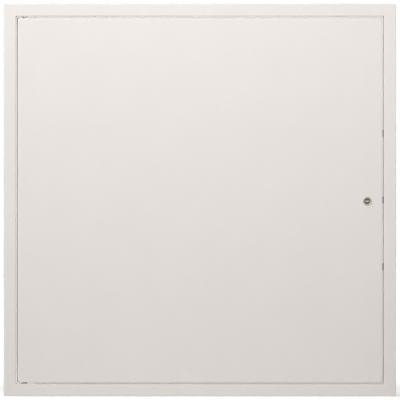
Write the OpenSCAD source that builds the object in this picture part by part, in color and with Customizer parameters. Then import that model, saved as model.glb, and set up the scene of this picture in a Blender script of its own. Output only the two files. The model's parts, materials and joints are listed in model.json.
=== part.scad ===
// Flush metal access panel: folded frame with picture flange, pivoted tray door and quarter-turn lock.
// Front face towards -Y, hinge side at -X, top at +Z. The wall's surface is the plane y = 0.

/* [Opening] */
// Clear width between the side webs of the frame
opening_w = 600; // [480:5:900]
// Clear height between the top and bottom webs of the frame
opening_h = 600; // [480:5:900]

/* [Frame] */
// Sheet thickness of the rails and stops
frame_t = 1.2; // [0.8:0.1:1.6]
// Inside radius of the folds
fold_r = 0.8; // [0.5:0.1:1.2]
// Width of the flange seen from the front
flange_w = 20; // [16:1:32]
// Height of the flange face in front of the wall
flange_standoff = 4; // [3:0.5:6]
// Rounding of the flange's outer corners
flange_corner_r = 2.5; // [1:0.1:3.5]
// Depth of the frame behind the wall's surface
frame_depth = 46; // [44:1:80]
// Width of the lip at the back of the rails
rear_lip_w = 10; // [6:1:14]
// Diameter of the fixing holes in the webs
fixing_d = 5.5; // [4:0.5:7]
// Distance between the two fixing holes of a rail
fixing_pitch = 400; // [200:10:410]
// Distance from the fixing holes to the back of the frame
fixing_back = 10; // [7:0.5:12]

/* [Stops] */
// Width of the stop leg that the door closes on
stop_w = 14; // [10:0.5:16]
// Length of the stop leg that lies on the web
stop_leg = 12; // [8:0.5:12]
// Space between the closed door and the stops
buffer_space = 2; // [1.5:0.1:4]
// Length of a buffer pad
buffer_len = 12; // [6:0.5:20]
// Width of a buffer pad
buffer_w = 8; // [5:0.5:9]
// Distance from the web to the nearest edge of a buffer pad
buffer_edge = 0.3; // [0.2:0.1:3]
// Distance between the buffer pads on the lock side
buffer_pitch = 109; // [60:1:200]
// Rounding of the pads' corners
buffer_r = 2; // [0.5:0.5:2.4]
// Distance from the lock-side web to the pad on the top stop
top_buffer_x = 76; // [30:1:200]

/* [Corner cleats] */
// Length of each leg of a cleat
cleat_len = 34; // [30:1:60]
// Width of a cleat
cleat_w = 12; // [10:0.5:12]
// Sheet thickness of the cleats
cleat_t = 1.5; // [1:0.1:2.5]
// Diameter of the rivets
rivet_d = 3.2; // [2.4:0.1:4]
// Distance from the end of a cleat leg to its outer rivet
rivet_end = 7; // [5:0.5:8]
// Distance between the two rivets of a cleat leg
rivet_pitch = 15; // [10:0.5:16]
// Diameter of the rivets' domed heads
rivet_head_d = 6.4; // [5:0.1:7]
// Height of the rivets' domed heads
rivet_head_h = 1.4; // [0.8:0.1:2]
// Diameter of the rivets' set tails
rivet_tail_d = 4.8; // [4.4:0.1:5.4]
// Height of the rivets' set tails
rivet_tail_h = 2.6; // [1.5:0.1:3]

/* [Door] */
// Sheet thickness of the door
door_t = 1.2; // [0.8:0.1:1.6]
// Gap between door and frame on the hinge side
gap_hinge = 3.2; // [2.6:0.1:4]
// Gap between door and frame on the lock side
gap_lock = 2.4; // [2:0.1:4]
// Gap between door and frame at the top
gap_top = 3.6; // [2.5:0.1:4.5]
// Gap between door and frame at the bottom, where the lower pivot carries the door
gap_bottom = 2.6; // [2.2:0.1:4.5]
// Depth of the folded door edge
door_depth = 18; // [15:0.5:19]
// Width of the lip folded in at the back of the door
door_lip_w = 12; // [8:0.5:16]
// Corner radius of the door
door_corner_r = 3; // [2.5:0.1:8]

/* [Stiffeners] */
// Distance between the two stiffeners
stiffener_pitch = 220; // [120:5:280]
// Sheet thickness of the stiffeners
stiffener_t = 0.8; // [0.6:0.1:1.2]
// Height of the hat section
stiffener_h = 12; // [8:0.5:13]
// Width of the top of the hat section
stiffener_top_w = 26; // [16:1:40]
// Flat width of each foot of the hat section
stiffener_foot_w = 11; // [8:1:20]
// Distance from the ends of a stiffener to the folded door edge
stiffener_end_gap = 9; // [5:1:60]

/* [Pivots] */
// Distance from the hinge-side edge of the door to the pivot axis
pivot_inset = 11.5; // [10:0.5:13]
// Diameter of the pivot pins
pin_d = 5; // [4:0.1:5.5]
// Clearance of a running fit, on the radius
run_fit = 0.05; // [0.03:0.01:0.09]
// Outside diameter of the pivot bushes
bush_d = 8; // [7.5:0.1:9]
// Diameter of the bush flange in the gap
bush_flange_d = 10; // [9.5:0.1:12]
// Thickness of the bush flange
bush_flange_t = 1.2; // [0.8:0.1:1.5]
// Length of the bush beyond the web
bush_tail = 4; // [2:0.5:6]
// How far the pivot pins reach past the web's inner face
pin_reach = 7; // [5:0.5:9]
// Length of the chamfer on the ends of the pins
pin_tip = 1; // [0.5:0.1:1.5]
// Diameter of the lower pin's collar under the door
pin_collar_d = 7.4; // [6.6:0.1:9]
// Diameter of the lower pin's riveted head
pin_head_d = 9; // [7.5:0.1:11]
// Height of the lower pin's riveted head
pin_head_h = 2; // [1:0.1:3]
// Sheet thickness of the pivot brackets
bracket_t = 1.5; // [1.2:0.1:2.5]
// Length of the bracket leg on the door edge
bracket_leg = 24; // [18:1:30]
// Length of the bracket leg that carries the pin
bracket_reach = 20; // [18:0.5:24]

/* [Spring bolt] */
// Length of the spring in the closed bolt
spring_len = 30; // [24:1:45]
// Diameter of the spring wire
spring_wire = 0.8; // [0.6:0.1:1]
// Number of coils
spring_coils = 9; // [6:1:12]
// Thickness of the retaining clip
clip_t = 0.8; // [0.6:0.1:1]
// Diameter of the retaining clip
clip_d = 10; // [9:0.5:11]
// Width of the mouth of the retaining clip
clip_mouth = 3; // [2:0.1:3.4]
// Depth of the clip's groove in the bolt
clip_groove = 0.6; // [0.4:0.1:0.8]
// Bend radius of the bolt's handle on its centre line
elbow_r = 6; // [4:0.5:8]
// Straight length of the bolt's handle
handle_len = 14; // [8:1:24]

/* [Lock] */
// Distance from the lock-side edge of the door to the lock axis
lock_inset = 24.5; // [24:0.5:40]
// Height of the lock axis below the middle of the frame
lock_drop = 2; // [-60:1:60]
// Diameter of the lock rim
lock_rim_d = 15; // [14:0.1:18]
// Height of the lock rim in front of the door
lock_rim_h = 1.6; // [1:0.1:2.5]
// Chamfer around the front of the rim
lock_rim_chamfer = 0.7; // [0.3:0.1:0.9]
// Depth of the dished face inside the rim
lock_dish = 1; // [0.5:0.1:1.5]
// Diameter of the threaded barrel
lock_barrel_d = 12; // [11.5:0.1:12.5]
// Width of the barrel across its two flats
lock_flats_w = 10.6; // [10.2:0.1:11]
// Diameter of the key recess
key_recess_d = 9; // [8.8:0.1:9.3]
// Depth of the key recess behind the rim's face
key_recess_depth = 6.4; // [5:0.1:8]
// Diameter of the plug
plug_d = 8; // [7.6:0.1:8.2]
// Thickness of the plug's collar on the floor of the key recess
plug_collar_t = 1.2; // [0.8:0.1:1.6]
// Diameter of the round pin in the key recess
key_pin_d = 3.4; // [3:0.1:4]
// Width over the two bits of the key pin
key_bit_w = 7.4; // [6:0.1:7.8]
// Thickness of the bits
key_bit_t = 2.2; // [1.6:0.1:2.6]
// Width of the lock nut across flats
nut_af = 16; // [15:0.5:18]
// Thickness of the lock nut
nut_h = 4; // [3:0.5:6]
// Diameter of the washer under the lock nut
lock_washer_d = 18; // [17:0.5:20]
// Thickness of the washer under the lock nut
lock_washer_t = 0.8; // [0.6:0.1:1.2]
// Side length of the doubler plate
doubler_w = 40; // [30:1:42]
// Thickness of the doubler plate
doubler_t = 1.5; // [1:0.1:2.5]
// Thickness of the cam
cam_t = 2; // [1.5:0.1:3]
// Width of the cam
cam_w = 14; // [12:0.5:18]
// Diameter of the cam around the plug
cam_hub_d = 16; // [14:0.5:18]
// Rounding of the cam's end
cam_tip_r = 3; // [1:0.5:6]
// How far the closed cam reaches behind the stop
cam_engage = 8; // [5:0.5:9]
// Side length of the square that drives the cam
cam_square = 5.4; // [5:0.1:5.5]
// Diameter of the cam washer
cam_washer_d = 10; // [8:0.5:12]
// Thickness of the cam washer
cam_washer_t = 0.8; // [0.5:0.1:1.2]
// Thread diameter of the cam screw
cam_screw_d = 3; // [2.5:0.1:3.2]
// Depth of the cam screw's hole in the plug
cam_thread_depth = 7; // [5:0.5:10]
// Diameter of the cam screw's head at its seat
cam_head_d = 6.3; // [5.4:0.1:7]
// Diameter of the cam screw's head at its top
cam_head_top_d = 5; // [4.4:0.1:5.4]
// Height of the cam screw's head
cam_head_h = 2.1; // [1.5:0.1:3]
// Length of the arms of the cross recess in the cam screw
drive_len = 3.4; // [2.4:0.1:4]
// Width of the arms of the cross recess
drive_w = 0.9; // [0.6:0.1:1.2]
// Depth of the cross recess
drive_depth = 0.9; // [0.5:0.1:1.2]

/* [Clearances] */
// Around fasteners and bushes, on the radius
hole_fit = 0.1; // [0.05:0.01:0.15]
// Between the closed door and the buffer pads
pad_play = 0.3; // [0.2:0.1:0.8]
// Between the swinging door heel and the ends of the stops
heel_play = 3; // [2:0.5:8]
// Between a cleat and the rear fold of the rails
cleat_play = 1; // [0.5:0.1:1.5]
// Between a cleat and the legs of the stops, which are cut back around it
relief_play = 2.5; // [0.5:0.1:2.9]
// Between the pivot brackets and the door's skin and lip
bracket_play = 0.8; // [0.3:0.1:1.5]
// Between the lower pin's collar and its bush
collar_play = 0.3; // [0.2:0.1:0.4]
// Between the retaining clip and the door edge
seat_play = 0.2; // [0.1:0.1:0.8]
// Between the spring and the bolt, on the radius
spring_play = 0.6; // [0.4:0.1:1]
// Between the guiding bracket and the bend of the bolt
elbow_play = 2; // [0.5:0.1:6]
// Between the closed cam and the back of the stop
cam_play = 0.4; // [0.3:0.1:1]
// Between the end of the lock barrel and the cam
barrel_play = 0.3; // [0.3:0.1:1]
// Around the plug's collar in the key recess, on the radius
plug_play = 0.1; // [0.05:0.01:0.15]
// Between the plug's square end and the back of the cam
square_play = 0.1; // [0.1:0.1:0.5]
// Between the end of the cam screw and the bottom of its hole
thread_play = 1; // [0.5:0.1:2]
// Between the rim's face and the end of the key pin
key_sink = 0.8; // [0.3:0.1:1.5]
// Between the end of the key pin and its bits
bit_sink = 0.8; // [0.3:0.1:1.5]

/* [Hidden] */
$fn = 48;

// How far cutting shapes run past the faces they cut
eps = 0.5;

// Folded sheet: outside radius of a fold
frame_fold = frame_t + fold_r;
door_fold = door_t + fold_r;

// Depth planes
front_y = -flange_standoff;
door_back_y = front_y + door_depth;
skin_back_y = front_y + door_t;
stop_y = door_back_y + buffer_space;
stop_back_y = stop_y + frame_t;
cleat_back_y = frame_depth - frame_fold - cleat_play;
cleat_front_y = cleat_back_y - cleat_w;
fixing_y = frame_depth - fixing_back;

// Edges of the door and its pivot axis
door_left_x = gap_hinge - opening_w / 2;
door_right_x = opening_w / 2 - gap_lock;
door_top_z = opening_h / 2 - gap_top;
door_bottom_z = gap_bottom - opening_h / 2;
door_w = door_right_x - door_left_x;
door_h = door_top_z - door_bottom_z;
door_mid = [(door_left_x + door_right_x) / 2, 0, (door_top_z + door_bottom_z) / 2];
pivot_x = door_left_x + pivot_inset;
pivot_y = front_y + door_depth / 2;
heel_dx = pivot_inset - door_fold;
heel_dy = door_depth / 2 - door_fold;
heel_r = door_fold + sqrt(heel_dx * heel_dx + heel_dy * heel_dy);
stop_start_x = pivot_x + heel_r + heel_play;

// Mitre wedges reach past the widest leg of the rails and stops
mitre = flange_w + rear_lip_w + stop_w;

// Rivets sit at these distances from the corner, in the middle of the cleat
rivet_at = [cleat_len - rivet_end - rivet_pitch, cleat_len - rivet_end];
rivet_y = cleat_back_y - cleat_w / 2;

// Spring bolt, from the top down
bracket_w = door_depth - 2 * door_t - 2 * bracket_play;
edge_top_z = door_top_z - door_t;
edge_bottom_z = door_bottom_z + door_t;
bolt_tip_z = opening_h / 2 + pin_reach;
clip_top_z = edge_top_z - seat_play;
clip_groove_d = pin_d - 2 * clip_groove;
spring_top_z = clip_top_z - clip_t;
guide_top_z = spring_top_z - spring_len;
elbow_top_z = guide_top_z - bracket_t - elbow_play;
spring_mean_d = pin_d + 2 * spring_play + spring_wire;

// Lower pin
pin_collar_h = gap_bottom - bush_flange_t - collar_play;

// Lock, from the front to the back
lock_x = door_right_x - lock_inset;
lock_z = -lock_drop;
rim_front_y = front_y - lock_rim_h;
recess_y = rim_front_y + key_recess_depth;
doubler_back_y = skin_back_y + doubler_t;
nut_y = doubler_back_y + lock_washer_t;
cam_y = stop_back_y + cam_play;
cam_back_y = cam_y + cam_t;
barrel_end_y = cam_y - barrel_play;
plug_collar_d = key_recess_d - 2 * plug_play;
cam_reach = lock_inset + gap_lock - stop_w + cam_engage;

// Quarter ring of a fold in the first quadrant
module quarter_fold(t, r) {
    intersection() {
        difference() {
            circle(t + r);
            circle(r);
        }
        square(t + r);
    }
}

// Section of a folded sheet: straight legs with square folds between them, the sheet on the left of the path
module folded(legs, turns, t, r, i = 0) {
    if (legs[i] > 0) square([legs[i], t]);
    if (i < len(turns)) {
        if (turns[i] > 0) {
            translate([legs[i], t + r]) rotate(-90) quarter_fold(t, r);
            translate([legs[i] + t + r, t + r]) rotate(90) folded(legs, turns, t, r, i + 1);
        } else {
            translate([legs[i], -r]) quarter_fold(t, r);
            translate([legs[i] + r, -r]) rotate(-90) folded(legs, turns, t, r, i + 1);
        }
    }
}

// Rail section: folded-back edge, flange, web and rear lip, with the web's inner face at zero
module rail_section() {
    translate([flange_w - frame_t, 0])
        rotate(-90)
            folded(
                [
                    flange_standoff - frame_fold,
                    flange_w - 2 * frame_fold,
                    frame_depth + flange_standoff - 2 * frame_fold,
                    rear_lip_w - fold_r
                ],
                [-1, -1, 1], frame_t, fold_r
            );
}

// Stop section: one leg for the door to close on and one leg on the web
module stop_section() {
    translate([-stop_w, stop_y])
        folded([stop_w - frame_fold, stop_leg - frame_fold], [1], frame_t, fold_r);
}

// Section of the door's edge without skin and lip, with its outer face at zero
module door_edge_section() {
    translate([-door_fold, front_y])
        folded([0, door_depth - 2 * door_fold, 0], [1, 1], door_t, fold_r);
}

// Wedge that mitres a rail running along the side at half width a, with the other half size b
module mitre_wedge(a, b) {
    rotate([90, 0, 0])
        linear_extrude(2 * (frame_depth + flange_standoff), center = true)
            polygon([
                [a - mitre, mitre - b], [a + mitre, -b - mitre],
                [a + mitre, b + mitre], [a - mitre, b - mitre]
            ]);
}

// Waste outside the rounding of a flange corner at half width a and half length b
module corner_waste(a, b) {
    r = flange_corner_r;
    translate([a + flange_w - r, 0, b + flange_w - r])
        rotate([90, 0, 0])
            linear_extrude(2 * flange_standoff + eps, center = true)
                difference() {
                    square(r + eps);
                    circle(r);
                }
}

// Rail along the lock side: half width a, half length b
module plain_rail(a, b) {
    difference() {
        intersection() {
            translate([a, 0, 0])
                linear_extrude(2 * (b + flange_w), center = true)
                    rail_section();
            mitre_wedge(a, b);
        }
        corner_waste(a, b);
        mirror([0, 0, 1]) corner_waste(a, b);
    }
}

// Holes through a web at half width a: the fixing holes and the cleat rivets towards both corners
module web_holes(a, b) {
    for (s = [-1, 1]) {
        translate([a - eps, fixing_y, s * fixing_pitch / 2])
            rotate([0, 90, 0])
                cylinder(d = fixing_d, h = frame_t + 2 * eps);
        for (d = rivet_at)
            translate([a - eps, rivet_y, s * (b - d)])
                rotate([0, 90, 0])
                    cylinder(d = rivet_d + 2 * hole_fit, h = frame_t + 2 * eps);
    }
}

// Turns a part drawn for the lock side up to the top side
module to_top() {
    rotate([0, -90, 0]) children();
}

// Hole for a pivot bush in the top rail
module bush_hole() {
    translate([pivot_x, pivot_y, opening_h / 2 - eps])
        cylinder(d = bush_d + 2 * hole_fit, h = frame_t + 2 * eps);
}

module top_rail() {
    color("white")
        difference() {
            to_top() plain_rail(opening_h / 2, opening_w / 2);
            to_top() web_holes(opening_h / 2, opening_w / 2);
            bush_hole();
        }
}

module bottom_rail() {
    color("white") mirror([0, 0, 1]) top_rail();
}

module lock_rail() {
    color("white")
        difference() {
            plain_rail(opening_w / 2, opening_h / 2);
            web_holes(opening_w / 2, opening_h / 2);
        }
}

module hinge_rail() {
    color("white") mirror([1, 0, 0]) lock_rail();
}

// Space that the stops leave for a cleat leg on the lock side
module cleat_relief() {
    translate([
        opening_w / 2 - cleat_t - relief_play, cleat_front_y - relief_play,
        opening_h / 2 - cleat_len - relief_play
    ])
        cube([cleat_t + relief_play + eps, cleat_w + 2 * relief_play, cleat_len + 2 * relief_play]);
}

// The top stop begins clear of the swinging heel and is mitred into the lock side
module top_stop() {
    color("whitesmoke")
        difference() {
            intersection() {
                to_top()
                    translate([opening_h / 2, 0, -opening_w / 2])
                        linear_extrude(opening_w / 2 - stop_start_x)
                            stop_section();
                to_top() mitre_wedge(opening_h / 2, opening_w / 2);
            }
            for (m = [0, 1])
                mirror([m, 0, 0]) other_leg() cleat_relief();
        }
}

module bottom_stop() {
    color("whitesmoke") mirror([0, 0, 1]) top_stop();
}

module lock_stop() {
    color("whitesmoke")
        difference() {
            intersection() {
                translate([opening_w / 2, 0, 0])
                    linear_extrude(opening_h, center = true)
                        stop_section();
                mitre_wedge(opening_w / 2, opening_h / 2);
            }
            for (m = [0, 1])
                mirror([0, 0, m]) cleat_relief();
        }
}

// Holes through a cleat leg on the lock side
module cleat_holes() {
    for (d = rivet_at)
        translate([opening_w / 2 - cleat_t - eps, rivet_y, opening_h / 2 - d])
            rotate([0, 90, 0])
                cylinder(d = rivet_d + 2 * hole_fit, h = cleat_t + 2 * eps);
}

// Turns a leg on the lock side into the leg on the top side of the same corner
module other_leg() {
    translate([opening_w / 2, 0, opening_h / 2])
        mirror([1, 0, -1])
            translate([-opening_w / 2, 0, -opening_h / 2])
                children();
}

// Angle cleat in the top corner of the lock side
module corner_cleat() {
    color("silver")
        difference() {
            translate([0, cleat_back_y, 0])
                rotate([90, 0, 0])
                    linear_extrude(cleat_w)
                        translate([opening_w / 2, opening_h / 2 - cleat_len])
                            rotate(90)
                                folded(
                                    [cleat_len - cleat_t - fold_r, cleat_len - cleat_t - fold_r],
                                    [1], cleat_t, fold_r
                                );
            cleat_holes();
            other_leg() cleat_holes();
        }
}

module cleat_top_lock() {
    corner_cleat();
}

module cleat_top_hinge() {
    mirror([1, 0, 0]) corner_cleat();
}

module cleat_bottom_lock() {
    mirror([0, 0, 1]) corner_cleat();
}

module cleat_bottom_hinge() {
    mirror([1, 0, 0]) mirror([0, 0, 1]) corner_cleat();
}

// Blind rivet: domed head below zero, shank through the grip and a set tail beyond it
module rivet(grip) {
    dome_r = (rivet_head_d * rivet_head_d / 4 + rivet_head_h * rivet_head_h) / (2 * rivet_head_h);
    rotate_extrude()
        intersection() {
            translate([0, dome_r - rivet_head_h]) circle(dome_r);
            translate([0, -rivet_head_h]) square([rivet_head_d, rivet_head_h]);
        }
    cylinder(d = rivet_d, h = grip);
    translate([0, 0, grip]) cylinder(d1 = rivet_tail_d, d2 = rivet_d, h = rivet_tail_h);
}

// The rivets of one cleat leg on the lock side
module leg_rivets() {
    for (d = rivet_at)
        translate([opening_w / 2 - cleat_t, rivet_y, opening_h / 2 - d])
            rotate([0, 90, 0])
                rivet(cleat_t + frame_t);
}

module cleat_rivets() {
    color("gainsboro")
        for (mx = [0, 1])
            for (mz = [0, 1])
                mirror([mx, 0, 0])
                    mirror([0, 0, mz]) {
                        leg_rivets();
                        other_leg() leg_rivets();
                    }
}

// Flanged bush in the top web, its flange in the gap
module upper_bush() {
    color("ivory")
        translate([pivot_x, pivot_y, opening_h / 2])
            difference() {
                union() {
                    translate([0, 0, -bush_flange_t]) cylinder(d = bush_flange_d, h = bush_flange_t);
                    cylinder(d = bush_d, h = frame_t + bush_tail);
                }
                translate([0, 0, -bush_flange_t - eps])
                    cylinder(d = pin_d + 2 * run_fit, h = bush_flange_t + frame_t + bush_tail + 2 * eps);
            }
}

module lower_bush() {
    mirror([0, 0, 1]) upper_bush();
}

// Pad with rounded corners on the front of a stop, its long side along Z
module buffer_pad() {
    pad_t = buffer_space - pad_play;
    flat_w = buffer_w - 2 * buffer_r;
    flat_len = buffer_len - 2 * buffer_r;
    translate([-buffer_edge - buffer_w / 2, stop_y, 0])
        rotate([90, 0, 0])
            linear_extrude(pad_t) {
                square([buffer_w, flat_len], center = true);
                square([flat_w, buffer_len], center = true);
                for (sx = [-1, 1])
                    for (sz = [-1, 1])
                        translate([sx * flat_w / 2, sz * flat_len / 2]) circle(buffer_r);
            }
}

module lock_side_buffer(z) {
    color("dimgray") translate([opening_w / 2, 0, z]) buffer_pad();
}

module upper_buffer() {
    lock_side_buffer(buffer_pitch);
}

module middle_buffer() {
    lock_side_buffer(0);
}

module lower_buffer() {
    lock_side_buffer(-buffer_pitch);
}

module top_buffer() {
    color("ivory")
        to_top()
            translate([opening_h / 2, 0, top_buffer_x - opening_w / 2]) buffer_pad();
}

// One straight edge of the door along the lock side: half width a, half length b, with its lip
module door_edge(a, b) {
    translate([a, 0, 0])
        linear_extrude(2 * (b - door_corner_r), center = true)
            door_edge_section();
    translate([0, door_back_y, 0])
        rotate([90, 0, 0])
            linear_extrude(door_t)
                polygon([
                    [a - door_fold, door_corner_r - b],
                    [a - door_fold, b - door_corner_r],
                    [a - door_lip_w, b - door_corner_r - door_lip_w + door_fold],
                    [a - door_lip_w, door_corner_r + door_lip_w - door_fold - b]
                ]);
}

// Rounded corner of the door's edge, at the bottom of the lock side
module door_corner() {
    translate([door_w / 2 - door_corner_r, 0, door_corner_r - door_h / 2])
        rotate([-90, 0, 0])
            rotate_extrude(angle = 90)
                translate([door_corner_r, 0]) door_edge_section();
}

// Flat skin of the door between the folds
module door_skin() {
    flat_r = door_corner_r - door_fold;
    translate([0, skin_back_y, 0])
        rotate([90, 0, 0])
            linear_extrude(door_t) {
                square([door_w - 2 * door_corner_r, door_h - 2 * door_fold], center = true);
                square([door_w - 2 * door_fold, door_h - 2 * door_corner_r], center = true);
                for (sx = [-1, 1])
                    for (sz = [-1, 1])
                        translate([sx * (door_w / 2 - door_corner_r), sz * (door_h / 2 - door_corner_r)])
                            circle(flat_r);
            }
}

// Section of the lock barrel: round with two flats
module barrel_section(grow) {
    intersection() {
        circle(d = lock_barrel_d + 2 * grow);
        square([2 * lock_barrel_d, lock_flats_w + 2 * grow], center = true);
    }
}

// Turns a part drawn along +Z from zero into one running along +Y from depth y on the lock axis
module on_lock(y) {
    translate([lock_x, y, lock_z]) rotate([-90, 0, 0]) children();
}

module door_tray() {
    color("white")
        difference() {
            translate(door_mid) {
                door_skin();
                for (m = [0, 1])
                    mirror([m, 0, 0]) {
                        door_edge(door_w / 2, door_h / 2);
                        door_corner();
                        mirror([0, 0, 1]) door_corner();
                    }
                for (m = [0, 1])
                    mirror([0, 0, m]) to_top() door_edge(door_h / 2, door_w / 2);
            }
            on_lock(front_y - eps)
                linear_extrude(door_t + 2 * eps)
                    barrel_section(hole_fit);
            for (z = [edge_top_z, door_bottom_z])
                translate([pivot_x, pivot_y, z - eps])
                    cylinder(d = pin_d + 2 * run_fit, h = door_t + 2 * eps);
        }
}

// Hat section: foot, web, top, web, foot on the back of the skin
module hat_section() {
    fold = stiffener_t + fold_r;
    web = stiffener_h - 2 * fold;
    top = stiffener_top_w - 2 * fold;
    width = 2 * stiffener_foot_w + 2 * stiffener_t + 4 * fold_r + top;
    translate([-width / 2, 0])
        folded(
            [stiffener_foot_w, web, top, web, stiffener_foot_w],
            [1, -1, -1, 1], stiffener_t, fold_r
        );
}

module stiffener(x) {
    color("silver")
        translate([door_mid.x + x, skin_back_y, door_mid.z])
            linear_extrude(door_h - 2 * (door_fold + stiffener_end_gap), center = true)
                hat_section();
}

module hinge_stiffener() {
    stiffener(-stiffener_pitch / 2);
}

module lock_stiffener() {
    stiffener(stiffener_pitch / 2);
}

module lock_doubler() {
    color("silver")
        on_lock(skin_back_y)
            linear_extrude(doubler_t)
                difference() {
                    square(doubler_w, center = true);
                    barrel_section(hole_fit);
                }
}

// Angle bracket: one leg on the inside of the hinge-side door edge, the carrying leg at height zero below it
module pivot_bracket() {
    translate([door_left_x + door_t, pivot_y + bracket_w / 2, 0])
        rotate([90, 0, 0])
            linear_extrude(bracket_w)
                translate([0, bracket_leg])
                    rotate(-90)
                        folded(
                            [bracket_leg - bracket_t - fold_r, bracket_reach - bracket_t - fold_r],
                            [1], bracket_t, fold_r
                        );
}

// Hole for a pivot pin through a bracket's carrying leg
module bracket_hole() {
    translate([pivot_x, pivot_y, -eps])
        cylinder(d = pin_d + 2 * run_fit, h = bracket_t + 2 * eps);
}

module upper_pivot_bracket() {
    color("silver")
        translate([0, 0, guide_top_z - bracket_t])
            difference() {
                pivot_bracket();
                bracket_hole();
            }
}

module lower_pivot_bracket() {
    color("silver")
        translate([0, 0, edge_bottom_z])
            difference() {
                pivot_bracket();
                bracket_hole();
            }
}

// Riveted pin: head on the bracket, collar under the door's edge, pin down into the bush
module lower_pivot_pin() {
    pin_end_z = -opening_h / 2 - pin_reach;
    color("lightgray")
        translate([pivot_x, pivot_y, 0]) {
            translate([0, 0, edge_bottom_z + bracket_t]) cylinder(d = pin_head_d, h = pin_head_h);
            translate([0, 0, pin_end_z + pin_tip])
                cylinder(d = pin_d, h = edge_bottom_z + bracket_t - pin_end_z - pin_tip);
            translate([0, 0, door_bottom_z - pin_collar_h]) cylinder(d = pin_collar_d, h = pin_collar_h);
            translate([0, 0, pin_end_z]) cylinder(d1 = pin_d - pin_tip, d2 = pin_d, h = pin_tip);
        }
}

// Upper bolt with a groove for its clip and a bent handle
module spring_bolt() {
    color("lightgray")
        translate([pivot_x, pivot_y, 0]) {
            translate([0, 0, elbow_top_z]) cylinder(d = pin_d, h = spring_top_z - elbow_top_z);
            translate([0, 0, spring_top_z]) cylinder(d = clip_groove_d, h = clip_t);
            translate([0, 0, clip_top_z]) cylinder(d = pin_d, h = bolt_tip_z - pin_tip - clip_top_z);
            translate([0, 0, bolt_tip_z - pin_tip]) cylinder(d1 = pin_d, d2 = pin_d - pin_tip, h = pin_tip);
            translate([elbow_r, 0, elbow_top_z])
                rotate([90, 0, 180])
                    mirror([0, 1, 0])
                        rotate_extrude(angle = 90)
                            translate([elbow_r, 0]) circle(d = pin_d);
            translate([elbow_r, 0, elbow_top_z - elbow_r])
                rotate([0, 90, 0]) {
                    cylinder(d = pin_d, h = handle_len);
                    translate([0, 0, handle_len]) cylinder(d1 = pin_d, d2 = pin_d - pin_tip, h = pin_tip);
                }
        }
}

// Retaining clip, open on the side towards the door's middle
module bolt_clip() {
    color("dimgray")
        translate([pivot_x, pivot_y, spring_top_z])
            linear_extrude(clip_t)
                difference() {
                    circle(d = clip_d);
                    circle(d = clip_groove_d);
                    translate([0, -clip_mouth / 2]) square([clip_d, clip_mouth]);
                }
}

// Ring of points around the wire at angle a of the coil
function coil_ring(a, rise, sides) = [
    for (k = [0 : sides - 1])
        let (
            r = spring_mean_d / 2 + spring_wire / 2 * cos(k * 360 / sides),
            z = rise * a / 360 + spring_wire / 2 * sin(k * 360 / sides)
        )
        [r * cos(a), r * sin(a), z]
];

// Coil spring on the bolt between the bracket and the clip
module bolt_spring() {
    sides = 8;
    per_turn = 20;
    steps = spring_coils * per_turn;
    rise = (spring_len - spring_wire) / spring_coils;
    rings = [for (i = [0 : steps]) each coil_ring(i * 360 / per_turn, rise, sides)];
    walls = [
        for (i = [0 : steps - 1])
            for (k = [0 : sides - 1])
                let (n = (k + 1) % sides)
                each [
                    [i * sides + k, (i + 1) * sides + k, (i + 1) * sides + n],
                    [i * sides + k, (i + 1) * sides + n, i * sides + n]
                ]
    ];
    start = [for (k = [0 : sides - 1]) k];
    end = [for (k = [sides - 1 : -1 : 0]) steps * sides + k];
    color("gray")
        translate([pivot_x, pivot_y, guide_top_z + spring_wire / 2])
            polyhedron(points = rings, faces = concat([start], walls, [end]));
}

// Lock body: rim with a dished face, barrel with two flats, key recess and bore for the plug
module lock_body() {
    rim_r = lock_rim_d / 2;
    barrel_len = barrel_end_y - front_y;
    dish_len = lock_dish + eps;
    color("darkgray")
        difference() {
            union() {
                on_lock(rim_front_y)
                    rotate_extrude()
                        polygon([
                            [0, 0], [rim_r - lock_rim_chamfer, 0], [rim_r, lock_rim_chamfer],
                            [rim_r, lock_rim_h], [0, lock_rim_h]
                        ]);
                on_lock(front_y) linear_extrude(barrel_len) barrel_section(0);
            }
            on_lock(rim_front_y - eps)
                cylinder(d1 = key_recess_d + 2 * dish_len, d2 = key_recess_d, h = dish_len);
            on_lock(rim_front_y) cylinder(d = key_recess_d, h = key_recess_depth);
            on_lock(rim_front_y)
                cylinder(d = plug_d + 2 * run_fit, h = barrel_end_y - rim_front_y + eps);
        }
}

module lock_washer() {
    color("silver")
        on_lock(doubler_back_y)
            difference() {
                cylinder(d = lock_washer_d, h = lock_washer_t);
                translate([0, 0, -eps])
                    cylinder(d = lock_barrel_d + 2 * hole_fit, h = lock_washer_t + 2 * eps);
            }
}

module lock_nut() {
    color("silver")
        on_lock(nut_y)
            difference() {
                rotate(30) cylinder(d = nut_af / cos(30), h = nut_h, $fn = 6);
                translate([0, 0, -eps]) cylinder(d = lock_barrel_d + 2 * hole_fit, h = nut_h + 2 * eps);
            }
}

// Plug: key pin with two bits, collar on the recess floor, round body and a square end for the cam
module lock_plug() {
    pin_h = key_recess_depth - plug_collar_t - key_sink;
    bit_h = pin_h - bit_sink;
    collar_y = recess_y - plug_collar_t;
    color("gray")
        difference() {
            union() {
                on_lock(collar_y - pin_h) cylinder(d = key_pin_d, h = pin_h + plug_collar_t);
                on_lock(collar_y - bit_h)
                    linear_extrude(bit_h + plug_collar_t)
                        intersection() {
                            circle(d = key_bit_w);
                            square([key_bit_w, key_bit_t], center = true);
                        }
                on_lock(collar_y) cylinder(d = plug_collar_d, h = plug_collar_t);
                on_lock(recess_y) cylinder(d = plug_d, h = cam_y - recess_y);
                on_lock(cam_y)
                    linear_extrude(cam_t - square_play) square(cam_square, center = true);
            }
            on_lock(cam_back_y - cam_thread_depth)
                cylinder(d = cam_screw_d + 2 * run_fit, h = cam_thread_depth + eps);
        }
}

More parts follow.
